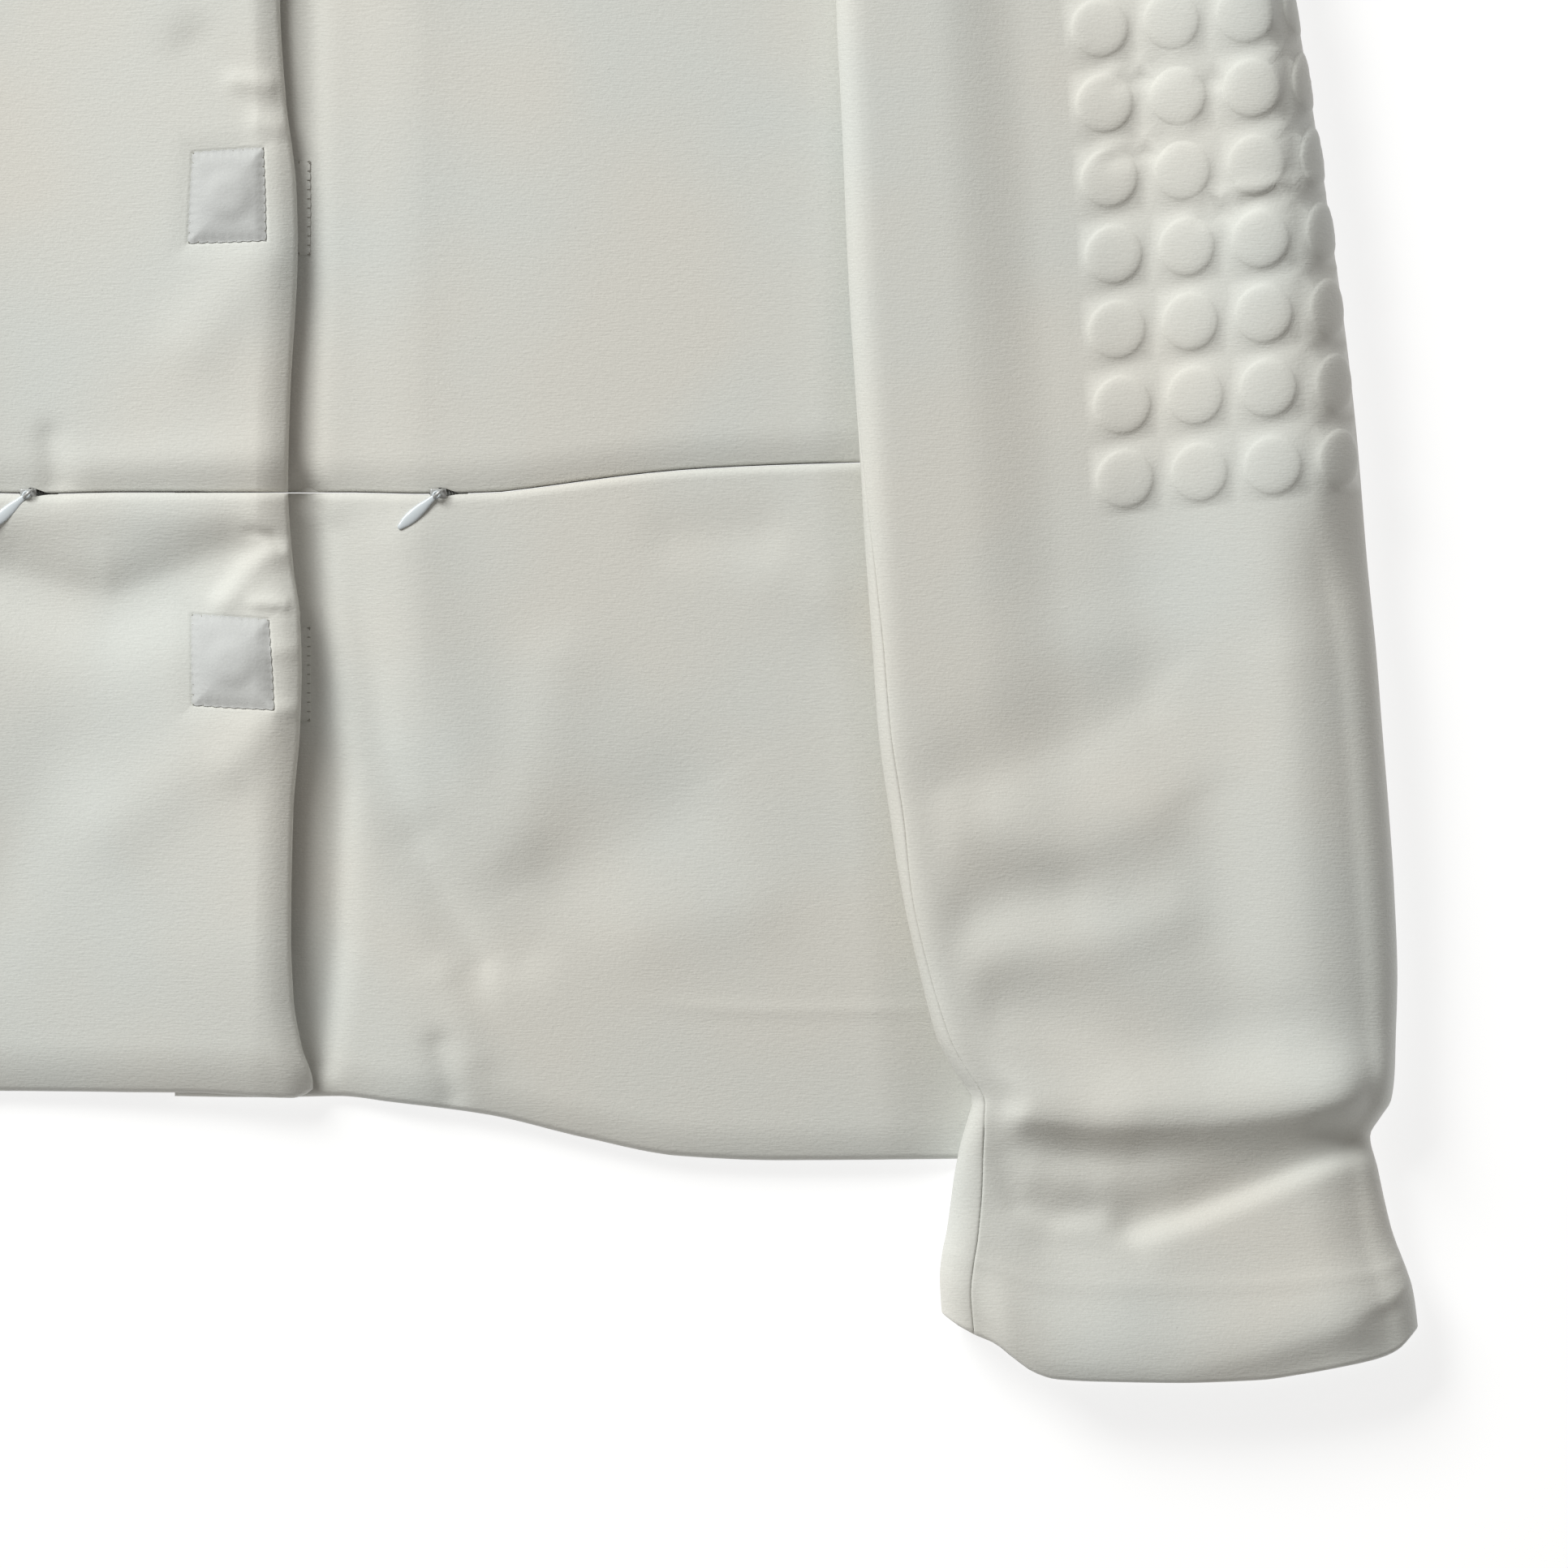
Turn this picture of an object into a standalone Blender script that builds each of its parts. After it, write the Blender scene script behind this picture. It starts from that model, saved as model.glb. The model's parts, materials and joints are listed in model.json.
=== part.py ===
"""Short fencing-style jacket of thick bonded knit, laid flat on its back panels with the fronts up.

Sizes are in millimetres, and MM turns them into metres where a mesh is made.
x runs across the jacket from the centre front towards the wearer's left, and "out" is the same distance
towards a panel's own side. y runs up the jacket from the waist seam, z up from the surface it lies on.
"""

import math

import bmesh
import bpy
import numpy as np
from mathutils import Vector
from mathutils.bvhtree import BVHTree

MM = 0.001

# Driving sizes
CLOTH = 2.0            # thickness of the bonded knit
COLLAR_CLOTH = 2.4     # the collar is two layers
SEAM = 0.3             # gap between neighbouring pieces
COLLAR_TOP = 441.0     # highest point above the waist seam
CUFF_LOW = -301.0      # lowest point, at the cuffs
WAIST_Y = -(COLLAR_TOP + CUFF_LOW) / 2
BODY_TOP = 10.5        # height of the fronts' outer face over the back
SIDE_TOP = 4.4         # the same at the side seam, where front lies on back
ARMHOLE_TOP = 8.0      # and along the armhole
HEM_DROP = 1.6
WAIST_DITCH = 1.7
LAP_TOP = 12.4         # outer face of the right front where it laps
UNDERLAP_TOP = 7.6     # outer face of the left front under it
UNDERLAP = 20.0        # how far the left front reaches past the centre front
SLEEVE_START = 8.8     # height of the sleeve's edge at the front armhole
OVER_BODY = 1.5        # room between a sleeve and the front it lies over
DOT_PITCH = 25.4
DOT_RADIUS = 10.3
DOT_RISE = 2.2
DOT_ROWS = 10
DOT_COLUMNS = 4
DOT_SIDES = 12
TOP_DOT_Y = 160.0 + 3 * DOT_PITCH
ROW_LEAN = 0.095       # the rows of dots climb towards the outer edge
LEAN_FROM = -230.0
LEAN_TO = 255.0
DOTS_TO_EDGE = 58.0    # from the second line of dots round to the outer edge
PATCH_SIZE = (24.5, 31.5)
PATCH_PITCH = 157.0
MIDDLE_PATCH_Y = 101.0
PATCH_X = -1.5
PATCH_EDGE = 0.6       # a patch is pressed this thin by its stitches
SNAP_RADIUS = 5.5
UNDER_PATCH_X = 13.5
SLIDER_X = 69.5
TAB_DIRECTION = Vector((-0.75, -0.66, 0.0)).normalized()
TAB_LENGTH = 18.0
TAB_HALF_WIDTH = 2.0
TAB_THICK = 1.2
BRIDGE_RADIUS = 1.9
BRIDGE_WIRE = 0.55
AXIS_OVER_PLATE = 1.2
PLATE_SIZE = (5.6, 3.2, 1.2)
WAIST_AT_SIDE = (232.0, 11.5)     # where the waist seam meets the side seam
HEM_AT_SIDE = (255.0, -225.0)
ARMPIT_Y = 190.0
SHOULDER_TIP = (200.0, 351.0)
SIDE_SLOPE = 35.0      # how far from the side seam a front reaches its full height
SHOULDER_SLOPE = 30.0
NECK_SIDE = 60.0       # the shoulder slope starts this far out, beside the collar
NECK_SLOPE = 18.0
WAIST_SLOPE = 10.0
HEM_ROLL = 14.0
HEM_LINE = -200.0      # where a front's inner edge turns into its hem
LAP_FROM = 26.0        # the right front starts to rise over the underlap this far from the centre
LAP_SLOPE = 36.0
UNDERLAP_FROM = 32.0
UNDERLAP_SLOPE = 30.0
EDGE_ROUNDING = 4.0    # the lapping edge turns down over its last millimetres
EDGE_DROP = 1.2
BACK_SHORTER = 3.0     # the back's hem lies this far inside the fronts' hem
CUFF_LENGTH = 66.0     # the cross rows follow the cuff's curved edge over this length
BESIDE_SLOPE = 13.0    # the sleeve comes down off the body over this width
BELOW_HEM_SLOPE = 34.0
LOWEST_FOLD = -20.0    # the sleeve's creases lie below this height
LAST_SEAMED = 274.9    # above this the sleeve has no back seam


def table(columns, *rows):
    """Named columns of numbers, one row for each station or fold."""
    return dict(zip(columns.split(), np.array(rows, dtype=float).T))


FRONT_EDGE = table(
    "y x",
    (-204, 27), (-199, 27), (-187, 23.4), (-170, 20.6), (-148, 19.8), (-107, 20.6), (-80, 22.8), (-60, 23.4),
    (-41, 22.8), (-25, 20.6), (3, 18.7), (30, 19.3), (85, 22), (104, 21.5), (135, 17.9), (168, 16), (327, 18))
WAIST = table(
    "out y",
    (-28, 0.8), (58, 0.3), (92, 1.1), (100, 4), (127, 7.4), (155, 9.6), (182, 10.7), (213, 11.3), (232, 11.5))
SIDE = table("y out", (-225, 255), (-100, 243), (11.5, 232), (95, 234), (190, 237))
ARMHOLE = table(
    "y front back",
    (190, 237, 237), (198.1, 204, 226), (223.6, 191, 205), (249, 184, 197), (275, 182, 193), (300, 184, 193),
    (325, 190, 195), (343, 197, 199), (351, 200, 201))
NECK_AND_SHOULDER = table(
    "out front back",
    (-20, 327, 383), (0, 325, 382), (25, 329, 384), (50, 346, 388), (70, 376, 395), (78, 400, 400),
    (200, 351, 351))
HEM = table(
    "out left right",
    (-28, -203, -200.5), (-24, -203.4, -203.3), (-20, -203.8, -204.3), (13, -204.2, -202.6),
    (36, -203.8, -202.4), (53, -205.7, -202.2), (86, -210, -202), (119, -217.8, -212), (152, -224.1, -220),
    (185, -225.5, -225), (255, -225, -225))
SLEEVE = table(
    "v x_in x_out roll_in roll_out z_in z_valley z_ridge",
    (-301, 240, 401.8, 10, 16, 20, 21, 22), (-285, 239.3, 400, 10, 16, 20, 21, 23),
    (-270, 240, 397, 10, 16, 20, 21, 23), (-255, 241.5, 393.5, 10, 16, 20, 22, 24),
    (-240, 243, 390.5, 10, 16, 20, 22, 24), (-228, 244.5, 388, 9, 15, 20, 21, 22),
    (-217, 247, 385.5, 8, 13, 20, 20, 21), (-211, 248.8, 388.8, 8, 14, 21, 22, 25),
    (-205, 250.4, 392.5, 8, 15, 22, 25, 29), (-196, 245, 393.6, 8, 16, 23, 26, 31),
    (-184, 238.5, 394, 9, 17, 24, 27, 32), (-165, 233.2, 394.6, 9, 17, 24, 25, 31),
    (-135, 226.5, 393.5, 9, 17, 25, 24, 31), (-107, 222.2, 391.6, 9, 17, 25, 24, 32),
    (-80, 218.5, 389.4, 9, 17, 26, 23, 33), (-52, 216.5, 387.2, 9, 17, 26, 23, 34),
    (-25, 214.5, 384.5, 9, 16, 26, 22, 35), (20.1, 211.8, 380.7, 9, 15, 26, 22, 35),
    (71, 208.5, 374.8, 9, 13, 26, 21, 35), (121.8, 206.3, 367.2, 9, 11, 26, 21, 35),
    (172.7, 204.2, 358.5, 9, 9, 26, 21, 35), (198.1, 204.4, 352, 14, 9, 26, 22, 35),
    (223.6, 191.4, 345, 22, 10, 26, 23, 33), (249, 184.4, 335, 22, 11, 25, 23, 32),
    (275, 182.4, 320, 22, 12, 24, 23, 30), (300, 184.4, 299, 22, 13, 23, 22, 27),
    (325, 190.4, 268, 20, 13, 20, 19, 22), (343, 197.4, 235, 12, 10, 14, 13, 14),
    (351, 200.4, 212, 5, 4, 9, 9, 9))
CUFF_EDGE = table(
    "across y",
    (0, -278), (0.03, -281.3), (0.07, -284.4), (0.115, -288), (0.157, -293.4), (0.2, -298),
    (0.24, -299.8), (0.33, -300.6), (0.5, -301), (0.665, -300), (0.75, -298), (0.83, -295.6),
    (0.92, -292.3), (0.96, -289.3), (1, -283))
FRONT_SEAM = table(   # how far round the sleeve its front seam lies from the inner edge
    "v along",
    (-301, 17.7), (-261, 17.2), (-240, 14.7), (-217, 11.6), (-202, 9.2), (-181, 8.8), (-162, 7.6),
    (-143, 7.4), (-107, 9), (-52, 8.5), (-28, 7.5), (-5, 5.5), (20, 2.5), (46, 0), (71, -1), (190, -1))
BACK_SEAM = table(
    "v x",
    (-301, 372), (0, 352), (100, 340), (172.7, 328), (198.1, 300), (223.6, 262), (249, 215),
    (275, 193.4))
DOT_LINE = table(   # the second line of dots
    "v x", (-301, 346.5), (6, 327.3), (160, 317.9), (198.1, 312), (249, 296))
LEFT_FOLDS = table(
    "x1 y1 x2 y2 width height",
    (31, -10, 52, -80, 8, -2), (52, -80, 86, -160, 8, -1.8), (76, -18, 78, -45, 8, 1),
    (50, -74, 97, -137, 8, -1.4), (97, -137, 125, -157, 8, -1.2), (112, -121, 149, -119, 18, -1),
    (72, -120, 100, -150, 9, 1))
RIGHT_FOLDS = table(
    "x1 y1 x2 y2 width height",
    (62, -12, 34, -46, 14, -1.6), (13, -14, -10, -34, 9, -1.2), (6, -80, 40, -110, 14, 1.2),
    (60, -90, 90, -150, 16, -1.2), (12, 150, -10, 122, 10, -1.2), (-8, 82, 30, 56, 14, 1.2),
    (-4, 18, 50, 16, 13, 1))
SLEEVE_FOLDS = table(
    "x1 y1 x2 y2 width height",
    (251, -92, 287, -66, 14, -3), (262, -118, 320, -95, 13, 2.4), (243, -146, 276, -126, 12, -3),
    (250, -156, 262, -148, 9, 2), (270, -172, 320, -160, 12, -2.4), (300, -121, 328, -132, 9, -1.8),
    (300, -139, 330, -136, 9, 1.8), (336, -148, 336, -184, 11, -2.4), (258, -197, 376, -199, 9, 2.6),
    (382, -215, 312, -239, 8, -4.5), (266, -214, 271, -236, 7, -3.2), (271, -236, 294, -239, 8, -3),
    (300, -248, 330, -246, 8, 2))
SLEEVE_ROWS = (
    -301, -285, -268, -252, -240, -229, -220, -212, -204, -196, -184, -168, -150, -132, -114, -94, -72,
    -50, -28)
CAP_ROWS = (275, 300, 325, 343)


def read(named, column, at, key="y"):
    """A table's column, read at any place along its key column."""
    return np.interp(at, named[key], named[column])


def ease(t):
    """Smooth step from 0 to 1."""
    t = np.clip(t, 0.0, 1.0)
    return t * t * (3.0 - 2.0 * t)


def folds(named, x, y):
    """Height added by soft ridges and troughs, each along its own line."""
    total = 0.0 * x
    for x1, y1, x2, y2, width, height in zip(*(named[key] for key in "x1 y1 x2 y2 width height".split())):
        along = ((x - x1) * (x2 - x1) + (y - y1) * (y2 - y1)) / ((x2 - x1) ** 2 + (y2 - y1) ** 2)
        along = np.clip(along, 0.0, 1.0)
        away = np.hypot(x - x1 - along * (x2 - x1), y - y1 - along * (y2 - y1))
        total = total + height * np.exp(-((away / width) ** 2))
    return total


def outer_edge(y):
    """The panel's side: the side seam below the armpit, the front armhole above it."""
    return np.where(y <= ARMPIT_Y, read(SIDE, "out", y), read(ARMHOLE, "front", y))


def front_height(out, y, right):
    """Height of a front's outer face, at a distance out from the centre front."""
    side = ease((outer_edge(y) - out) / SIDE_SLOPE)
    edge_places = (ARMPIT_Y, ARMPIT_Y + 8.1, SHOULDER_TIP[1] - 31.0, SHOULDER_TIP[1])
    at_edge = np.interp(y, edge_places, (SIDE_TOP, ARMHOLE_TOP, ARMHOLE_TOP, SIDE_TOP))
    at_edge = (at_edge - SIDE_TOP) / (BODY_TOP - SIDE_TOP)
    shoulder = ease((read(NECK_AND_SHOULDER, "front", out, "out") - y) / SHOULDER_SLOPE)
    shoulder = np.where(out > NECK_SIDE, 1.0 - (1.0 - shoulder) * ease((out - NECK_SIDE) / NECK_SLOPE), 1.0)
    full = np.minimum(at_edge + (1.0 - at_edge) * side, shoulder)
    z = SIDE_TOP + (BODY_TOP - SIDE_TOP) * full
    from_waist = np.abs(y - read(WAIST, "y", out, "out"))
    z = z - WAIST_DITCH * full * (1.0 - ease(from_waist / WAIST_SLOPE))
    from_hem = y - read(HEM, "right" if right else "left", out, "out")
    z = z - HEM_DROP * full * (1.0 - ease(from_hem / HEM_ROLL))
    z = z + folds(RIGHT_FOLDS if right else LEFT_FOLDS, out, y) * full
    if right:
        lap = 1.0 - ease((out - LAP_FROM) / LAP_SLOPE)
        rounded = 1.0 - ease((out + read(FRONT_EDGE, "x", y)) / EDGE_ROUNDING)
        return z + (LAP_TOP - BODY_TOP) * lap - EDGE_DROP * rounded
    return z - (BODY_TOP - UNDERLAP_TOP) * (1.0 - ease((out - UNDERLAP_FROM) / UNDERLAP_SLOPE))


def blended_patch(bottom, top, inner, outer, u, v):
    """A point inside four boundary curves, for u across and v up."""
    corners = (1 - u) * ((1 - v) * bottom(0.0) + v * top(0.0)) + u * ((1 - v) * bottom(1.0) + v * top(1.0))
    return (1 - v) * bottom(u) + v * top(u) + (1 - u) * inner(v) + u * outer(v) - corners


def material(name, colour, roughness, metallic=0.0):
    """A plain finish for one sub-part."""
    made = bpy.data.materials.new(name)
    made.use_nodes = True
    shader = made.node_tree.nodes["Principled BSDF"]
    shader.inputs["Base Color"].default_value = (*colour, 1.0)
    shader.inputs["Roughness"].default_value = roughness
    shader.inputs["Metallic"].default_value = metallic
    return made


def ivory(name, shade=1.0):
    return material(name + "_cloth", (0.66 * shade, 0.655 * shade, 0.61 * shade), 0.85)


def add_object(name, data, finish):
    """Put a mesh or curve into the jacket's collection."""
    data.materials.append(finish)
    made = bpy.data.objects.new(name, data)
    bpy.data.collections["fencing_jacket"].objects.link(made)
    return made


def grid_mesh(name, points, keep=None):
    """A sheet through rows of points. keep(row, column) says which cells stay."""
    rows = len(points) - 1
    columns = len(points[0]) - 1
    bm = bmesh.new()
    bmesh.ops.create_grid(bm, x_segments=columns, y_segments=rows, size=1.0)
    place = {}
    for vert in bm.verts:
        i = round((vert.co.y + 1.0) / 2.0 * rows)
        j = round((vert.co.x + 1.0) / 2.0 * columns)
        place[vert] = (i, j)
        x, y, z = points[i][j]
        vert.co = (x * MM, (y + WAIST_Y) * MM, z * MM)
    bm.verts.sort(key=lambda vert: place[vert][0] * (columns + 1) + place[vert][1])
    if keep:
        gone = []
        for face in bm.faces:
            row = min(place[vert][0] for vert in face.verts)
            column = min(place[vert][1] for vert in face.verts)
            if not keep(row, column):
                gone.append(face)
        bmesh.ops.delete(bm, geom=gone, context="FACES")
    mesh = bpy.data.meshes.new(name)
    bm.to_mesh(mesh)
    bm.free()
    mesh.shade_smooth()
    return mesh


def wall(made, thickness):
    """Thicken a sheet inwards, away from its outer face."""
    solidify = made.modifiers.new("thickness", "SOLIDIFY")
    solidify.thickness = thickness * MM
    solidify.offset = -1.0
    return made


def mirrored(points):
    """The same points on the jacket's other side, in an order that keeps the outer face out."""
    return [[(-x, y, z) for x, y, z in reversed(row)] for row in points]


def front_points(part, right, columns, rows):
    """Rows of points on a front panel, in left-hand coordinates."""

    def edge_out(y):
        return -read(FRONT_EDGE, "x", y) if right else -UNDERLAP

    if part == "bodice":
        low = float(read(WAIST, "y", -UNDERLAP, "out")) + SEAM / 2
        neck = float(read(NECK_AND_SHOULDER, "front", -UNDERLAP, "out"))
        side_low = WAIST_AT_SIDE[1] + SEAM / 2
        side_high = SHOULDER_TIP[1]

        def bottom(u):
            out = edge_out(low) + (WAIST_AT_SIDE[0] - edge_out(low)) * u
            return np.array((out, read(WAIST, "y", out, "out") + SEAM / 2))

        def top(u):
            out = edge_out(neck) + (SHOULDER_TIP[0] - edge_out(neck)) * u
            return np.array((out, read(NECK_AND_SHOULDER, "front", out, "out")))

        def inner(v):
            y = low + (top(0.0)[1] - low) * v
            return np.array((edge_out(y), y))

        def outer(v):
            y = side_low + (side_high - side_low) * v
            return np.array((outer_edge(y), y))

    else:
        hem = "right" if right else "left"
        high = float(read(WAIST, "y", -UNDERLAP, "out")) - SEAM / 2
        side_low = HEM_AT_SIDE[1]
        side_high = WAIST_AT_SIDE[1] - SEAM / 2

        def bottom(u):
            out = edge_out(HEM_LINE) + (HEM_AT_SIDE[0] - edge_out(HEM_LINE)) * u
            return np.array((out, read(HEM, hem, out, "out")))

        def top(u):
            out = edge_out(high) + (WAIST_AT_SIDE[0] - edge_out(high)) * u
            return np.array((out, read(WAIST, "y", out, "out") - SEAM / 2))

        def inner(v):
            y = bottom(0.0)[1] + (high - bottom(0.0)[1]) * v
            return np.array((edge_out(y), y))

        def outer(v):
            y = side_low + (side_high - side_low) * v
            return np.array((read(SIDE, "out", y), y))

    points = []
    for height_at_side in rows:
        v = (height_at_side - side_low) / (side_high - side_low)
        line = []
        for u in columns:
            out, y = blended_patch(bottom, top, inner, outer, u, v)
            line.append((float(out), float(y), float(front_height(out, y, right))))
        points.append(line)
    return points


FRONT_COLUMNS = (0, 0.017, 0.06, 0.12, 0.2045, 0.318, 0.409, 0.4455, 0.54, 0.64, 0.75, 0.85, 0.93, 1)
BODICE_ROWS = (11.65, 16, 23, 42, 70, 100, 130, 160, 190, 198.1, 223.6, 249, 275, 300, 325, 343, 351)
PEPLUM_ROWS = (-225, -221, -210, -184, -158, -132, -106, -80, -54, -30, -10, 1, 7.5, 11.35)


def front(part, side):
    """One front panel: the bodice above the waist seam or the peplum below it."""
    right = side == "right"
    name = f"front_{part}_{side}"
    points = front_points(part, right, FRONT_COLUMNS, BODICE_ROWS if part == "bodice" else PEPLUM_ROWS)
    if right:
        points = mirrored(points)
    return wall(add_object(name, grid_mesh(name, points), ivory(name)), CLOTH)


def outline_plate(name, outline):
    """A flat panel of cloth on the surface, from its outline."""
    curve = bpy.data.curves.new(name, "CURVE")
    curve.dimensions = "2D"
    curve.fill_mode = "BOTH"
    curve.extrude = CLOTH / 2 * MM
    spline = curve.splines.new("POLY")
    spline.points.add(len(outline) - 1)
    for point, (x, y) in zip(spline.points, outline):
        point.co = (x * MM, (y + WAIST_Y) * MM, 0.0, 1.0)
    spline.use_cyclic_u = True
    made = add_object(name, curve, ivory(name))
    made.location.z = CLOTH / 2 * MM
    return made


def closed_by_mirror(half):
    """A whole outline from its half at the wearer's left, which starts and ends at the middle."""
    return half + [(-x, y) for x, y in reversed(half) if x > 0.0]


def back_bodice():
    waist = [(x, float(read(WAIST, "y", x, "out")) + SEAM / 2) for x in (0, 92, 100, 127, 155, 182, 213, 232)]
    side = [(float(read(SIDE, "out", y)), y) for y in (95, 190)]
    armhole = [(x, y) for y, x in zip(ARMHOLE["y"][1:], ARMHOLE["back"][1:])]
    neck = [(x, y) for x, y in zip(NECK_AND_SHOULDER["out"], NECK_AND_SHOULDER["back"]) if 0 <= x <= 78]
    return outline_plate("back_bodice", closed_by_mirror(waist + side + armhole + neck[::-1]))


def back_peplum():
    hem = [(x, float(read(HEM, "left", x, "out")) + BACK_SHORTER) for x in (0, 53, 86, 119, 152, 185, 254)]
    side = [(float(read(SIDE, "out", y)), y) for y in (-100,)]
    waist = [(x, float(read(WAIST, "y", x, "out")) - SEAM / 2) for x in (232, 213, 182, 155, 127, 100, 92, 0)]
    return outline_plate("back_peplum", closed_by_mirror(hem + side + waist))


def lift(x, y):
    """Height of the sleeve's underside: flat on the surface beside the body, raised where it lies over it."""
    side = read(SIDE, "out", y)
    over = SIDE_TOP + (BODY_TOP - SIDE_TOP) * ease((side - x) / SIDE_SLOPE) + OVER_BODY
    beside = 1.0 - ease((x - side) / BESIDE_SLOPE)
    below_hem = 1.0 - ease((HEM_AT_SIDE[1] - 1.5 - y) / BELOW_HEM_SLOPE)
    return over * beside * below_hem


def row_lean(v):
    """How much the sleeve's cross rows climb outwards: level at the cuff and at the sleeve head."""
    return ROW_LEAN * ease((v - LEAN_FROM) / 80.0) * (1.0 - ease((v - LEAN_TO) / 20.0))


ROLL_POINTS = 9
TOP_POINTS = 61
UNDER_POINTS = 41


class Section:
    """One cross-section of the left sleeve's outer face, from its inner edge over the top and back under."""

    def __init__(self, v):
        self.v = v
        shift = row_lean(v) * DOTS_TO_EDGE
        get = {name: float(read(SLEEVE, name, v, "v")) for name in SLEEVE if name != "v"}
        get["x_out"] = float(read(SLEEVE, "x_out", v + shift, "v"))
        above = v > ARMPIT_Y
        left = get["x_in"] + get["roll_in"]
        right = get["x_out"] - get["roll_out"]
        quarter = np.linspace(0.0, math.pi / 2, ROLL_POINTS)
        line = np.linspace(0.0, 1.0, TOP_POINTS)
        x_top = left + (right - left) * line
        places = (0.0, 0.2, 0.44, 0.68, 1.0)
        heights = (get["z_in"], get["z_in"], get["z_valley"], get["z_ridge"], get["z_ridge"])
        z_top = 0.0 * line
        for a, b, low, high in zip(places, places[1:], heights, heights[1:]):
            inside = (line >= a) & (line <= b)
            z_top[inside] = low + (high - low) * ease((line[inside] - a) / (b - a))
        if v < LOWEST_FOLD:
            fade = ease(line / 0.12) * ease((1.0 - line) / 0.02)
            z_top = z_top + folds(SLEEVE_FOLDS, x_top, v + 0.0 * x_top) * fade
        z_under = 0.0 if above else float(lift(get["x_in"] + get["roll_in"], v))
        z_mid = SLEEVE_START if above else (z_under + z_top[0]) / 2.0
        x1 = get["x_in"] + get["roll_in"] * (1.0 - np.cos(quarter))
        z1 = z_mid + (z_top[0] - z_mid) * np.sin(quarter)
        outer_mid = z_top[-1] / 2.0
        x2 = get["x_out"] - get["roll_out"] * (1.0 - np.sin(quarter))
        z2 = outer_mid + (z_top[-1] - outer_mid) * np.cos(quarter)
        x3 = get["x_out"] - get["roll_out"] * (1.0 - np.cos(quarter))
        z3 = outer_mid - outer_mid * np.sin(quarter)
        low_end = float(read(ARMHOLE, "back", v)) + 0.4 if above else left
        x4 = np.linspace(right, low_end, UNDER_POINTS)
        z4 = 0.0 * x4 if above else lift(x4, v)
        xs = [x1, x_top[1:], x2[1:], x3[1:], x4[1:]]
        zs = [z1, z_top[1:], z2[1:], z3[1:], z4[1:]]
        if not above:
            x5 = get["x_in"] + get["roll_in"] * (1.0 - np.sin(quarter))
            z5 = z_under + (z_mid - z_under) * (1.0 - np.cos(quarter))
            xs.append(x5[1:])
            zs.append(z5[1:])
        self.x = np.concatenate(xs)
        self.z = np.concatenate(zs)
        self.s = np.concatenate(([0.0], np.cumsum(np.hypot(np.diff(self.x), np.diff(self.z)))))
        self.length = float(self.s[-1])
        self.over_top = len(x1) + len(x_top) + len(x2) - 2
        self.bottom = self.over_top + len(x3) - 2
        self.across = np.clip((self.x - get["x_in"]) / (get["x_out"] - get["x_in"]), 0.0, 1.0)
        self.above = above

    def place_on_top(self, x):
        top = slice(0, self.over_top)
        return float(np.interp(x, self.x[top], self.s[top]))

    def place_below(self, x):
        under = slice(self.bottom, self.bottom + UNDER_POINTS)
        return float(np.interp(-x, -self.x[under], self.s[under]))

    def seam(self):
        """Place of the front seam, or of the armhole above the armpit."""
        if self.above:
            return 0.0
        return float(read(FRONT_SEAM, "along", self.v, "v"))

    def back_seam(self):
        if self.v > LAST_SEAMED:
            return self.length
        return self.place_below(float(read(BACK_SEAM, "x", self.v, "v")))

    def dots(self):
        return self.place_on_top(float(read(DOT_LINE, "x", self.v, "v")))

    def point(self, s):
        """The place at a distance s round the sleeve."""
        around = s % self.length if not self.above else min(max(s, 0.0), self.length)
        x = float(np.interp(around, self.s, self.x))
        z = float(np.interp(around, self.s, self.z))
        across = float(np.interp(around, self.s, self.across))
        u = around - self.dots()
        near_dots = ease((u + 75.0) / 37.0) * ease((100.0 - u) / 35.0)
        y = self.v + row_lean(self.v) * u * float(near_dots)
        near_end = 1.0 - ease((self.v - CUFF_LOW) / CUFF_LENGTH)
        y = y + float(near_end) * (float(read(CUFF_EDGE, "y", across, "across")) - CUFF_LOW)
        return (x, y, z)


def top_columns(section):
    """Distances round the sleeve of the top piece's columns."""
    start = section.seam() + SEAM
    end = section.back_seam() - (0.0 if section.v > LAST_SEAMED else SEAM / 2)
    first = section.dots() - 1.5 * DOT_PITCH
    last = first + DOT_COLUMNS * DOT_PITCH
    inner = [start, start + 1.0, start + 7.0, start + 15.0, start + 15.0 + (first - start - 15.0) * 0.45]
    middle = [first + DOT_PITCH / 2 * k for k in range(2 * DOT_COLUMNS + 1)]
    outer = [last + (end - last) * t for t in (0.2, 0.45, 0.7, 1.0)]
    return inner + middle + outer


INNER_COLUMNS = 5
TOP_ROWS = SLEEVE_ROWS + tuple(TOP_DOT_Y + DOT_PITCH * (0.5 - k) for k in range(DOT_ROWS, -1, -1)) + CAP_ROWS


def top_sleeve_points():
    last_dotted = Section(TOP_DOT_Y + DOT_PITCH / 2)
    shares = np.array(top_columns(last_dotted)) / last_dotted.length
    points = []
    for v in TOP_ROWS:
        section = Section(v)
        if v > last_dotted.v + 1.0:
            start = SEAM / 2
            places = [start + (section.length - start) * share / shares[-1] for share in shares]
        else:
            places = top_columns(section)
        points.append([section.point(s) for s in places])
    return points


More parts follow.
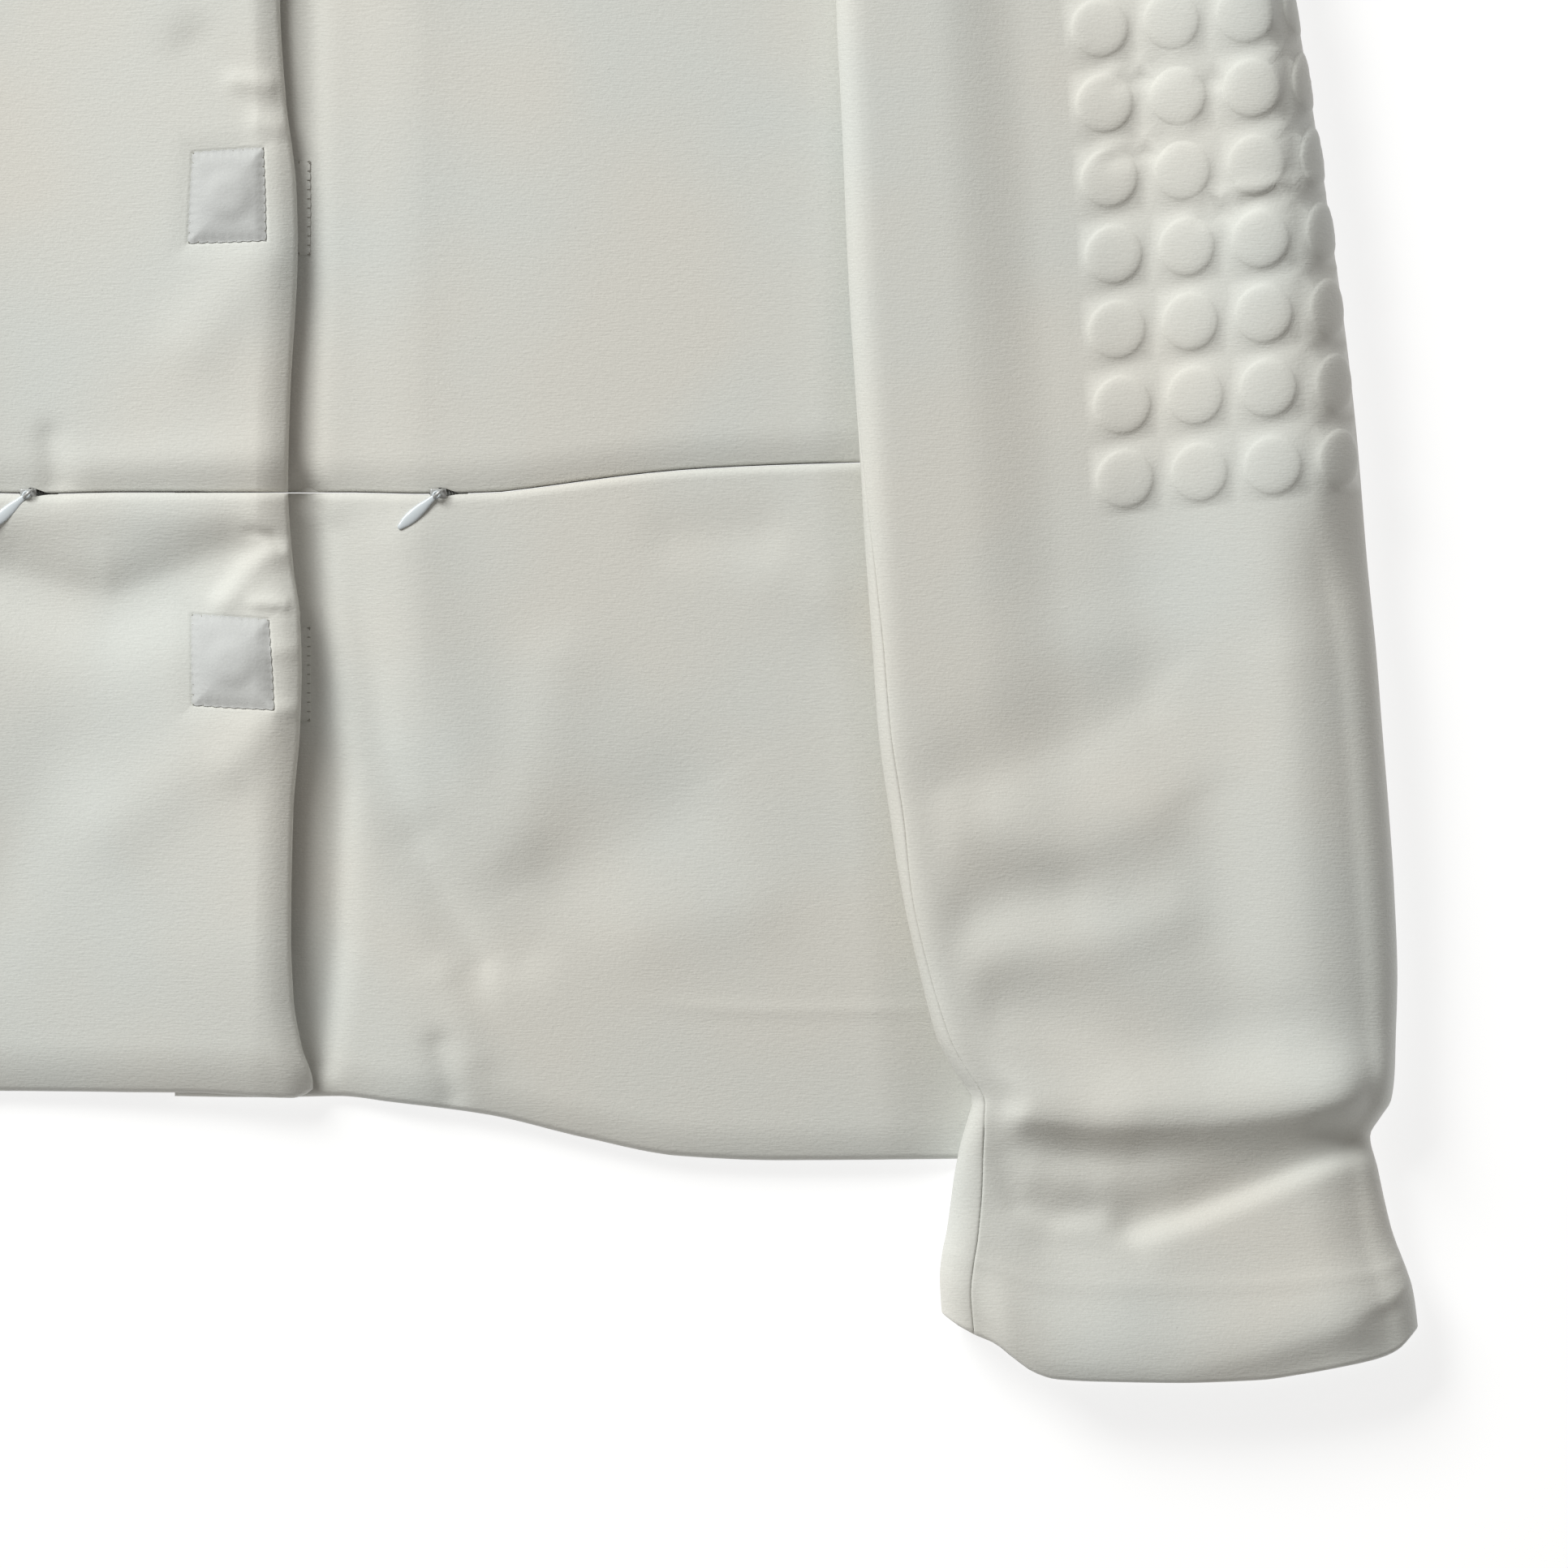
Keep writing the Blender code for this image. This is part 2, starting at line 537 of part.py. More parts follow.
def zip_rings(bm, outer, inner, centre):
    """Fill the strip between two closed rings of vertices that run the same way round."""

    def turn(vert):
        local = vert.co - centre[0]
        return math.atan2(local.dot(centre[2]), local.dot(centre[1])) % (2 * math.pi)

    outer = sorted(outer, key=turn)
    inner = sorted(inner, key=turn)
    nearest = min(range(len(inner)), key=lambda k: (inner[k].co - outer[0].co).length)
    inner = inner[nearest:] + inner[:nearest]
    i = j = 0
    while i < len(outer) or j < len(inner):
        a = outer[i % len(outer)]
        b = inner[j % len(inner)]
        next_a = outer[(i + 1) % len(outer)]
        next_b = inner[(j + 1) % len(inner)]
        step_outer = i < len(outer) and (next_a.co - b.co).length < (next_b.co - a.co).length
        if j >= len(inner) or step_outer:
            bm.faces.new((a, next_a, b))
            i += 1
        else:
            bm.faces.new((a, next_b, b))
            j += 1


def raise_dots(mesh, side):
    """Swap the outer cells of the dotted field for cells with a raised round dot."""
    columns = INNER_COLUMNS + 2 * DOT_COLUMNS + 1 + 4
    first_row = len(SLEEVE_ROWS)
    bm = bmesh.new()
    bm.from_mesh(mesh)
    bm.verts.ensure_lookup_table()
    sections = {}

    def on_sleeve(v, u):
        v = round(v, 4)
        if v not in sections:
            sections[v] = Section(v)
        x, y, z = sections[v].point(sections[v].dots() + u)
        return Vector((side * x * MM, (y + WAIST_Y) * MM, z * MM))

    for row in range(DOT_ROWS):
        v = TOP_DOT_Y - DOT_PITCH * (DOT_ROWS - 1 - row)
        for column in range(DOT_COLUMNS):
            u = DOT_PITCH * (column - 1)
            corner = (first_row + row) * columns + INNER_COLUMNS + 2 * column
            if side < 0:
                corner = (first_row + row) * columns + columns - 1 - (INNER_COLUMNS + 2 * column + 2)
            ring = [bm.verts[corner + line * columns + k] for line in (0, 1) for k in (0, 1, 2)]
            cells = {f for vert in ring for f in vert.link_faces if all(w in ring for w in f.verts)}
            middle = on_sleeve(v, u)
            across = (on_sleeve(v, u + 3.0) - on_sleeve(v, u - 3.0)).normalized()
            up = (on_sleeve(v + 3.0, u) - on_sleeve(v - 3.0, u)).normalized()
            outward = across.cross(up).normalized() * side
            if outward.z < -0.2:
                continue
            bmesh.ops.delete(bm, geom=list(cells), context="FACES")

            def circle(radius, rise):
                made = []
                for k in range(DOT_SIDES):
                    turn = 2 * math.pi * (k + 0.5) / DOT_SIDES
                    place = on_sleeve(v + radius * math.sin(turn), u + radius * math.cos(turn))
                    made.append(bm.verts.new(place + outward * rise * MM))
                return made

            foot = circle(DOT_RADIUS, 0.0)
            brow = circle(DOT_RADIUS - 1.3, 0.75 * DOT_RISE)
            crown = bm.verts.new(middle + outward * DOT_RISE * MM)
            frame = (middle, across, up)
            zip_rings(bm, ring, foot, frame)
            zip_rings(bm, foot, brow, frame)
            for k in range(DOT_SIDES):
                bm.faces.new((brow[k], brow[(k + 1) % DOT_SIDES], crown))
            bm.verts.ensure_lookup_table()
    bmesh.ops.triangulate(bm, faces=[f for f in bm.faces if len(f.verts) > 3])
    bmesh.ops.recalc_face_normals(bm, faces=bm.faces)
    bm.to_mesh(mesh)
    bm.free()


def top_sleeve(side):
    """The piece that goes from the front seam over the top and round the outer edge to the back seam."""
    name = f"sleeve_{side}_top"
    points = top_sleeve_points()
    if side == "right":
        points = mirrored(points)
    sheet = wall(add_object(name + "_sheet", grid_mesh(name, points), ivory(name)), CLOTH)
    mesh = bpy.data.meshes.new_from_object(sheet.evaluated_get(bpy.context.evaluated_depsgraph_get()))
    finish = sheet.data.materials[0]
    bpy.data.objects.remove(sheet)
    raise_dots(mesh, 1 if side == "left" else -1)
    mesh.shade_smooth()
    mesh.materials.clear()
    return add_object(name, mesh, finish)


UNDER_ROWS = SLEEVE_ROWS + (-5.1, 20.3, 45.7, 71.1, 121.9, 172.7, ARMPIT_Y, 198.1, 223.6, 249, 268)
ARMPIT_COLUMN = 6
PAST_SIDE_SEAM = 14.0   # the armpit column runs this far outside the body's side seam


def under_sleeve(side):
    """The narrow piece from the front seam round the inner edge and under to the back seam."""
    name = f"sleeve_{side}_under"
    points = []
    for v in UNDER_ROWS:
        section = Section(v)
        end = section.back_seam() + SEAM / 2
        if section.above:
            armpit = section.length - 0.2
            places = [armpit + (ARMPIT_COLUMN - k) * 0.01 for k in range(ARMPIT_COLUMN)] + [armpit]
        else:
            start = section.seam() - SEAM + section.length
            past = PAST_SIDE_SEAM if v < ARMPIT_Y else 3.0
            armpit = section.place_below(float(read(SIDE, "out", v)) + past)
            shares = (0.14, 0.28, 0.45, 0.7, 1.0)
            places = [start, start - 1.0] + [start + (armpit - start) * t for t in shares]
        places += [armpit + (end - armpit) * t for t in (0.34, 0.67, 1.0)]
        points.append([section.point(s) for s in places])
    armpit_row = UNDER_ROWS.index(172.7)
    if side == "left":
        points = [list(reversed(row)) for row in points]
    else:
        points = [[(-x, y, z) for x, y, z in row] for row in points]
    cells = len(points[0]) - 1

    def keep(row, column):
        from_seam = cells - 1 - column if side == "left" else column
        return row < armpit_row or from_seam >= ARMPIT_COLUMN

    return wall(add_object(name, grid_mesh(name, points, keep), ivory(name, 0.97)), CLOTH)


COLLAR = table(
    "along x_low y_low x_high y_high z",
    (0, -21, 330.6, -20, 367, 15.0), (1, 0, 326.3, 0, 366, 15.0), (2, 25, 330.5, 22, 369, 14.6),
    (3, 50, 348.2, 45, 383, 12.8), (4, 60, 363.6, 53, 396, 12), (5, 70, 379, 61, 413, 11.6),
    (6, 79.4, 403.4, 70, 434, 10.6), (7, 82.5, 406, 73.5, 438.5, 6.6), (8, 79, 404, 70, 440, 2.4),
    (9, 60, 393.6, 54, 440.8, 2.4), (10, 40, 387.8, 36, 441, 2.4), (11, 20, 385, 18, 441, 2.4),
    (12, 0, 383, 0, 441, 2.4))


COLLAR_STEPS = (0, 0.33, 0.67, 1)
COLLAR_TURN = 8   # from this row on the band lies under, with its inner face up


def collar():
    """A band round the neck: its front halves lie over its back half, and the right end laps the left."""
    halves = {}
    rows = list(zip(*(COLLAR[key] for key in "x_low y_low x_high y_high z".split())))
    for side in ("right", "left"):
        half = []
        for k, (x_low, y_low, x_high, y_high, z) in enumerate(rows):
            under_lap = 3.0 * (1.0 - ease((k - 2.0) / 2.0)) if side == "left" and k <= 4 else 0.0
            top = 0.0 if k >= COLLAR_TURN else float(z - under_lap)
            low = np.array((x_low, y_low))
            high = np.array((x_high, y_high))
            half.append([(*(low + (high - low) * t), top) for t in COLLAR_STEPS])
        halves[side] = half
    right_half = [[(-x, y, z) for x, y, z in line] for line in halves["right"]]
    around = right_half + halves["left"][-2::-1]
    points = [[line[k] for line in reversed(around)] for k in range(len(COLLAR_STEPS))]
    return wall(add_object("collar", grid_mesh("collar", points), ivory("collar")), COLLAR_CLOTH)


def surface_finder(*names):
    """A function that gives the height of the top face of the named objects at x and y."""
    graph = bpy.context.evaluated_depsgraph_get()
    trees = [BVHTree.FromObject(bpy.data.objects[name], graph) for name in names]

    def height(x, y):
        found = []
        for tree in trees:
            hit = tree.ray_cast(Vector((x * MM, (y + WAIST_Y) * MM, 1.0)), Vector((0.0, 0.0, -1.0)))[0]
            if hit:
                found.append(hit.z / MM)
        return max(found)

    return height


def patch(name, x, y, panel, puff, steps):
    """A square of cloth stitched flat at its edge and puffed over its snap, from its panel's points."""
    width, length = PATCH_SIZE
    height = surface_finder(panel)
    low = []
    high = []
    for i in range(steps + 1):
        b = 2.0 * i / steps - 1.0
        low_line = []
        high_line = []
        for j in range(steps + 1):
            a = 2.0 * j / steps - 1.0
            at = (x + a * width / 2, y + b * length / 2)
            base = height(*at) + SEAM + 0.12
            swell = (1.0 - a ** 4) * (1.0 - b ** 4)
            snap = math.exp(-((a * width / 2) ** 2 + (b * length / 2) ** 2) / SNAP_RADIUS ** 2)
            low_line.append((*at, base))
            high_line.append((*at, base + PATCH_EDGE + puff * (0.9 * swell + 0.5 * snap)))
        low.append(low_line)
        high.append(high_line)
    mesh = grid_mesh(name, high)
    bm = bmesh.new()
    bm.from_mesh(mesh)
    bm.verts.ensure_lookup_table()
    upper = list(bm.verts)
    made = bmesh.ops.extrude_face_region(bm, geom=list(bm.faces))
    lower = [v for v in made["geom"] if isinstance(v, bmesh.types.BMVert)]
    for vert in upper:
        i, j = divmod(vert.index, steps + 1)
        vert.co.z = high[i][j][2] * MM
    for vert in lower:
        j = round((vert.co.x / MM - x + width / 2) / width * steps)
        i = round((vert.co.y / MM - WAIST_Y - y + length / 2) / length * steps)
        vert.co.z = low[i][j][2] * MM
    bmesh.ops.recalc_face_normals(bm, faces=bm.faces)
    bm.to_mesh(mesh)
    bm.free()
    return add_object(name, mesh, ivory(name, 1.04))


def slider(side):
    """The small slider of a concealed zip, with a wire bridge for its tab. Returns the tab's axis height."""
    x = SLIDER_X if side == "left" else -SLIDER_X
    name = f"zip_slider_{side}"
    height = surface_finder(f"front_bodice_{side}", f"front_peplum_{side}")
    y = float(read(WAIST, "y", abs(x), "out"))
    length, width, thick = PLATE_SIZE
    feet = [height(x + a * length / 2, y + b * width / 2) for a in (-1, 0, 1) for b in (-1, -0.9, 0.9, 1)]
    bottom = max(feet) + SEAM
    bm = bmesh.new()
    bmesh.ops.create_cube(bm, size=MM)
    bmesh.ops.scale(bm, vec=PLATE_SIZE, verts=bm.verts)
    mesh = bpy.data.meshes.new(name)
    bm.to_mesh(mesh)
    bm.free()
    made = add_object(name, mesh, material(name + "_enamel", (0.78, 0.80, 0.80), 0.35))
    made.location = (x * MM, (y + WAIST_Y) * MM, (bottom + thick / 2) * MM)
    bevel = made.modifiers.new("rounded", "BEVEL")
    bevel.width = 0.35 * MM
    bevel.segments = 2
    axis = bottom + thick + AXIS_OVER_PLATE
    wire = bpy.data.curves.new(name + "_bridge", "CURVE")
    wire.dimensions = "3D"
    wire.bevel_depth = BRIDGE_WIRE * MM
    wire.bevel_resolution = 2
    wire.use_fill_caps = True
    path = [(-BRIDGE_RADIUS, -AXIS_OVER_PLATE - 0.5)]
    turns = np.linspace(0.0, math.pi, 11)
    path += [(-BRIDGE_RADIUS * math.cos(turn), BRIDGE_RADIUS * math.sin(turn)) for turn in turns]
    path += [(BRIDGE_RADIUS, -AXIS_OVER_PLATE - 0.5)]
    spline = wire.splines.new("POLY")
    spline.points.add(len(path) - 1)
    for point, (along, up) in zip(spline.points, path):
        place = Vector((x, y + WAIST_Y, axis + up)) + TAB_DIRECTION * along
        point.co = (*(place * MM), 1.0)
    bridge = bpy.data.objects.new(name + "_bridge", wire)
    bpy.data.collections["fencing_jacket_cutters"].objects.link(bridge)
    solid = bpy.data.meshes.new_from_object(bridge.evaluated_get(bpy.context.evaluated_depsgraph_get()))
    bpy.data.objects.remove(bridge)
    bm = bmesh.new()
    bm.from_mesh(solid)
    bmesh.ops.remove_doubles(bm, verts=bm.verts, dist=1e-6)
    bmesh.ops.recalc_face_normals(bm, faces=bm.faces)
    bm.to_mesh(solid)
    bm.free()
    staple = bpy.data.objects.new(name + "_bridge", solid)
    bpy.data.collections["fencing_jacket_cutters"].objects.link(staple)
    staple.hide_render = True
    staple.display_type = "WIRE"
    union = made.modifiers.new("bridge", "BOOLEAN")
    union.operation = "UNION"
    union.object = staple
    return axis


def pull_tab(side, axis):
    """A leaf-shaped tab with an eye round the slider's bridge. Its origin lies on its hinge axis."""
    name = f"zip_pull_{side}"
    x = SLIDER_X if side == "left" else -SLIDER_X
    y = float(read(WAIST, "y", abs(x), "out"))
    curve = bpy.data.curves.new(name, "CURVE")
    curve.dimensions = "2D"
    curve.fill_mode = "BOTH"
    curve.extrude = TAB_THICK / 2 * MM
    eye_half = BRIDGE_WIRE + 0.4
    bar = 0.6
    eye_end = BRIDGE_RADIUS + BRIDGE_WIRE + 0.6
    places = [bar + 1.4, 5.0, 8.0, 11.0, 13.5, 15.5, 17.0, TAB_LENGTH - 0.3]
    halves = [1.0, 0.9, 0.98, 1.0, 0.97, 0.86, 0.6, 0.3]
    upper = [(-bar, TAB_HALF_WIDTH * 0.75), (0.4, TAB_HALF_WIDTH)]
    upper += [(p, TAB_HALF_WIDTH * h) for p, h in zip(places, halves)]
    outline = upper + [(TAB_LENGTH, 0.0)] + [(p, -h) for p, h in reversed(upper)]
    eye = [(bar, eye_half), (bar, -eye_half), (eye_end, -eye_half), (eye_end, eye_half)]
    for loop in (outline, eye):
        spline = curve.splines.new("POLY")
        spline.points.add(len(loop) - 1)
        for point, (along, across) in zip(spline.points, loop):
            point.co = (along * MM, across * MM, 0.0, 1.0)
        spline.use_cyclic_u = True
    made = add_object(name, curve, material(name + "_enamel", (0.80, 0.83, 0.84), 0.3))
    made.location = (x * MM, (y + WAIST_Y) * MM, axis * MM)
    made.rotation_euler.z = math.atan2(TAB_DIRECTION.y, TAB_DIRECTION.x)
    return made


def build():
    for old in list(bpy.data.objects):
        bpy.data.objects.remove(old)
    for name in ("fencing_jacket", "fencing_jacket_cutters"):
        bpy.context.scene.collection.children.link(bpy.data.collections.new(name))
    back_bodice()
    back_peplum()
    for side in ("left", "right"):
        front("bodice", side)
        front("peplum", side)
        top_sleeve(side)
        under_sleeve(side)
    collar()
    for place, steps, panel in (("upper", 1, "bodice"), ("middle", 0, "bodice"), ("lower", -1, "peplum")):
        y = MIDDLE_PATCH_Y + steps * PATCH_PITCH
        patch(f"under_patch_{place}", UNDER_PATCH_X, y, f"front_{panel}_left", 0.15, 3)
        patch(f"snap_patch_{place}", PATCH_X, y, f"front_{panel}_right", 1.0, 6)
    for side in ("left", "right"):
        pull_tab(side, slider(side))


build()
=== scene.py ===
# %% [markdown]
# # A short knit jacket, laid flat
# The jacket lies on its back with both fronts up. Its cloth is a thick bonded knit that holds soft, rounded
# shapes instead of sharp creases, so each piece is a thin closed shell: an outer face and an inner face, worked
# out from named sizes with numpy. A cloth simulation could drape the panels, but the photograph shows set folds
# in known places, so they are placed as rows in small tables.

# %% Load the frame
import json
import math
import random

import bmesh
import bpy
import numpy as np
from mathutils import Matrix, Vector


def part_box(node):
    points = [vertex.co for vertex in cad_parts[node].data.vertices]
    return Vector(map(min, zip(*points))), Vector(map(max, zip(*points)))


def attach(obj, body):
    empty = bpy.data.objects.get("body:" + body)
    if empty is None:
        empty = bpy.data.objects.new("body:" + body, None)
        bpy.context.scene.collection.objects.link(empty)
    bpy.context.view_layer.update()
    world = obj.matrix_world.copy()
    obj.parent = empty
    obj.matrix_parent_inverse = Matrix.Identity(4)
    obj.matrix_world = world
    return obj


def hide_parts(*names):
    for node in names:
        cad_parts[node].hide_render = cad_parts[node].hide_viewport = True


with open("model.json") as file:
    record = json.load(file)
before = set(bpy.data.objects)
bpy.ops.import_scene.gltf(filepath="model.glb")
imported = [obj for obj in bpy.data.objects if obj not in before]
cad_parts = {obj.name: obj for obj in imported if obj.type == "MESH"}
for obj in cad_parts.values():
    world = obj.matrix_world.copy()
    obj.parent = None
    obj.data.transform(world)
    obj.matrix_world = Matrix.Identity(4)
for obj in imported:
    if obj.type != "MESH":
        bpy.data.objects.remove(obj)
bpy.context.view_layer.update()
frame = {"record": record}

# %% [markdown]
# ## Sizes
# All lengths are in millimetres. x runs from the centre front to the wearer's left, "out" is the same distance
# towards a panel's own side, y runs up from the waist seam and z up from the table. One place turns them into
# metres, so the tables stay easy to read beside a paper pattern.

# %% Driving sizes
MM = 0.001
WAIST_Y = -70.0        # the waist seam's place in the frame
CLOTH = 2.0            # thickness of the bonded knit
SEAM = 0.3             # gap between neighbouring pieces
BODY_TOP = 10.5        # height of the fronts' outer face over the back
SIDE_TOP = 4.4         # the same at the side seam
ARMHOLE_TOP = 8.0
RIDGE_TOP = 16.7       # the right front is highest just inside its lapping edge
EDGE_ROLL = 3.9        # and comes down this much towards the edge
EDGE_ROLL_WIDTH = 11.0
UNDERLAP_TOP = 7.6     # outer face of the left front under the lap
UNDERLAP = 20.0
HEM_DROP = {True: (4.2, 17.0), False: (2.6, 13.0)}   # how far and over what width, right and left
WAIST_DROP = {"bodice": (2.9, 13.0), "peplum": (1.3, 3.5)}
ARMPIT_Y = 190.0
SLIDER_X = 69.5
SEAM_GAPE = 2.8
SLEEVE_START = 8.8
OVER_BODY = 1.5
CUFF_LOW = -301.0
WAIST_AT_SIDE = (232.0, 11.5)
HEM_AT_SIDE = (255.0, -225.0)
SHOULDER_TIP = (200.0, 351.0)


def table(columns, *rows):
    """Named columns of numbers, one row for each station or fold."""
    return dict(zip(columns.split(), np.array(rows, dtype=float).T))


def ease(t):
    """Smooth step from 0 to 1."""
    t = np.clip(t, 0.0, 1.0)
    return t * t * (3.0 - 2.0 * t)


def follow(named, column, at, key="y"):
    """A table's column, read along a smooth line through its rows that never overshoots."""
    xs = named[key]
    ys = named[column]
    steps = np.diff(xs)
    slopes = np.diff(ys) / steps
    product = slopes[:-1] * slopes[1:]
    total = np.where(product > 0.0, slopes[:-1] + slopes[1:], 1.0)
    tangents = np.concatenate(([slopes[0]], np.where(product > 0.0, 2.0 * product / total, 0.0), [slopes[-1]]))
    at = np.clip(np.asarray(at, dtype=float), xs[0], xs[-1])
    k = np.clip(np.searchsorted(xs, at, side="right") - 1, 0, len(steps) - 1)
    t = (at - xs[k]) / steps[k]
    start = ys[k] * (1.0 + 2.0 * t) * (1.0 - t) ** 2
    end = ys[k + 1] * t * t * (3.0 - 2.0 * t)
    bend = steps[k] * t * (1.0 - t) * (tangents[k] * (1.0 - t) - tangents[k + 1] * t)
    return start + end + bend


print("cloth", CLOTH, "mm")

# %% [markdown]
# ## Outlines of the fronts
# The fronts are cut in a bodice and a peplum that meet in the waist seam. Each edge is a short table of places
# along it. Reading the tables along smooth lines gives cloth edges without corners, with few numbers.

# %% Outlines
FRONT_EDGE = table(
    "y x",
    (-204, 27), (-199, 27), (-187, 23.4), (-170, 20.6), (-148, 19.8), (-107, 20.6), (-80, 22.8), (-60, 23.4),
    (-41, 22.8), (-25, 20.6), (3, 18.7), (30, 19.3), (85, 22), (104, 21.5), (135, 17.9), (168, 16), (327, 18))
EDGE_LIFT = table(      # the stiff cloth of the lapping edge stands off the underlap
    "y lift", (-204, 0), (-185, 1.6), (-150, 3.8), (-60, 3.8), (-20, 1.6), (20, 0.6), (330, 0.6))
WAIST = table(
    "out y",
    (-28, 0.8), (39, 0.9), (65, 0.4), (89, 1.0), (103, 2.6), (119, 4.8), (137, 7.1), (153, 8.6), (176, 9.9),
    (213, 11.1), (232, 11.5))
SIDE = table("y out", (-225, 255), (-100, 243), (11.5, 232), (95, 234), (190, 237))
ARMHOLE = table(
    "y front back",
    (190, 237, 237), (198.1, 204, 226), (223.6, 191, 205), (249, 184, 197), (275, 182, 193), (300, 184, 193),
    (325, 190, 195), (343, 197, 199), (351, 200, 201))
NECK_AND_SHOULDER = table(
    "out front back",
    (-20, 327, 383), (0, 325, 382), (25, 329, 384), (50, 346, 388), (70, 376, 395), (78, 400, 400),
    (200, 351, 351))
HEM = table(
    "out left right",
    (-28, -203, -200.5), (-24, -203.4, -203.3), (-20, -203.8, -204.3), (13, -204.2, -202.6),
    (36, -203.8, -202.4), (53, -205.7, -202.2), (86, -210, -202), (119, -217.8, -212), (152, -224.1, -220),
    (185, -225.5, -225), (255, -225, -225))


def outer_edge(y):
    """The panel's side: the side seam below the armpit, the front armhole above it."""
    return np.where(y <= ARMPIT_Y, follow(SIDE, "out", y), np.interp(y, ARMHOLE["y"], ARMHOLE["front"]))


def edge_out(y, right):
    """Where a front's inner edge lies. The right front laps past the centre, the left one lies under it."""
    return -follow(FRONT_EDGE, "x", y) if right else -UNDERLAP + 0.0 * y


def stations(total, step, near_start, near_end, fine=()):
    """Shares from 0 to 1: a regular step, closer ones at both rounded ends and where details are fine."""
    inner = np.arange(near_start[-1] + step, total - near_end[-1] - step / 2.0, step)
    for low, high in fine:
        inner = np.concatenate((inner[inner < low], np.arange(low, high, FINE_STEP), inner[inner > high]))
    places = np.unique(np.round(np.concatenate((near_start, inner, total - np.array(near_end))), 2))
    return places / places[-1]


FINE_STEP = 0.6
ROUNDED = (0.0, 0.12, 0.4, 0.9, 1.4, 1.8, 2.2, 2.6, 3.2, 4.6, 6.5)
PLAIN = (0.0, 0.5, 1.4)

# %% [markdown]
# ## Folds
# A fold in thick knit is a soft ridge or trough: high along a line and fading on both sides like a bell curve,
# often faster on one side. Each fold below has its height, its width on the left and on the right of its line,
# and the line's points. Sculpting would give the same forms, but such rows can be moved one by one while the
# render is compared with the photograph.

# %% Folds of the fronts
LEFT_FOLDS = (
    (-2.3, 7, 12, (33, -14), (39.6, -33.5), (46, -59), (49.8, -88), (56.4, -107), (64, -127), (73, -142), (82, -158)),
    (-1.4, 10, 10, (64, -118), (74, -132), (88, -146), (97, -155)),
    (1.7, 15, 12, (58, -18), (66, -60), (80, -100), (92, -118)),
    (1.0, 14, 12, (110, -58), (100, -110)),
    (-2.0, 20, 18, (112, -127), (150, -105)),
    (-0.9, 10, 10, (150, -14), (178, -12)),
    (0.9, 12, 12, (186, -28), (196, -34)),
    (0.9, 14, 14, (140, -150), (175, -140)),
    (1.3, 8, 8, (72, -165), (80, -190)),
    (-1.3, 5, 5, (70, -187), (74, -203)),
    (-3.6, 6, 9, (27, -4), (30, -50), (35, -100), (34, -150), (28, -192)),
    (-1.5, 6, 5, (26, 4), (27, 100), (26, 330)),
    (-0.8, 28, 28, (70, 30), (76, 160)))
RIGHT_FOLDS = (
    (-5.0, 12, 18, (-104, -24), (-76, -28), (-56, -34), (-42, -37), (-28, -32), (-12, -26), (0, -21)),
    (1.2, 7, 8, (-90, -6), (-60, -6), (-20, -6), (4, -8)),
    (1.9, 6, 3, (16.4, -19), (9.8, -22.2), (5.2, -26), (1.4, -31.5), (-2.5, -36)),
    (1.1, 2.4, 2.2, (8.3, -36.5), (17.5, -37)),
    (-0.9, 2, 2, (6, -12.6), (12.9, -14.1), (16, -17.2)),
    (0.7, 3.5, 3.5, (14, -53), (20, -52.5)),
    (0.9, 3.5, 3.5, (15, -73), (20, -72.5)),
    (1.3, 8, 8, (12, -77), (0, -92)),
    (1.2, 13, 13, (-6, -86), (-40, -112)),
    (-1.2, 16, 16, (-60, -90), (-90, -150)),
    (-1.8, 9, 9, (-12, 152), (8, 128)),
    (1.2, 3.5, 3.5, (1, 140), (12, 139)),
    (1.2, 4, 3, (9, 126), (15, 124.5)),
    (1.3, 12, 12, (10, 80), (-12, 52)),
    (1.1, 9, 9, (-48, 8), (12, 14)),
    (-1.3, 5, 5, (-62, 19), (-60, 5)))


def folds(rows, x, y):
    """Height added by soft ridges and troughs, each along its own bent line."""
    total = 0.0 * x
    for height, left, right, *line in rows:
        nearest = np.full_like(total, 1e6)
        side = np.ones_like(total)
        for (x1, y1), (x2, y2) in zip(line, line[1:]):
            along = ((x - x1) * (x2 - x1) + (y - y1) * (y2 - y1)) / ((x2 - x1) ** 2 + (y2 - y1) ** 2)
            along = np.clip(along, 0.0, 1.0)
            away = np.hypot(x - x1 - along * (x2 - x1), y - y1 - along * (y2 - y1))
            turn = (x2 - x1) * (y - y1) - (y2 - y1) * (x - x1)
            side = np.where(away < nearest, turn, side)
            nearest = np.minimum(away, nearest)
        share = 0.5 + 0.5 * np.tanh(side / 60.0)
        width = right + (left - right) * share
        total = total + height * np.exp(-((nearest / width) ** 2))
    return total


print("folds", len(LEFT_FOLDS) + len(RIGHT_FOLDS))

# %% [markdown]
# ## Snap patches: where they press in
# Square patches of the same knit are stitched over the hidden snaps. Their stitches pull the front in, so the
# front's own height needs the patches' places first. A patch is a slightly skewed four-sided shape, because
# it was sewn by hand-guided machine, so its four corners are listed.

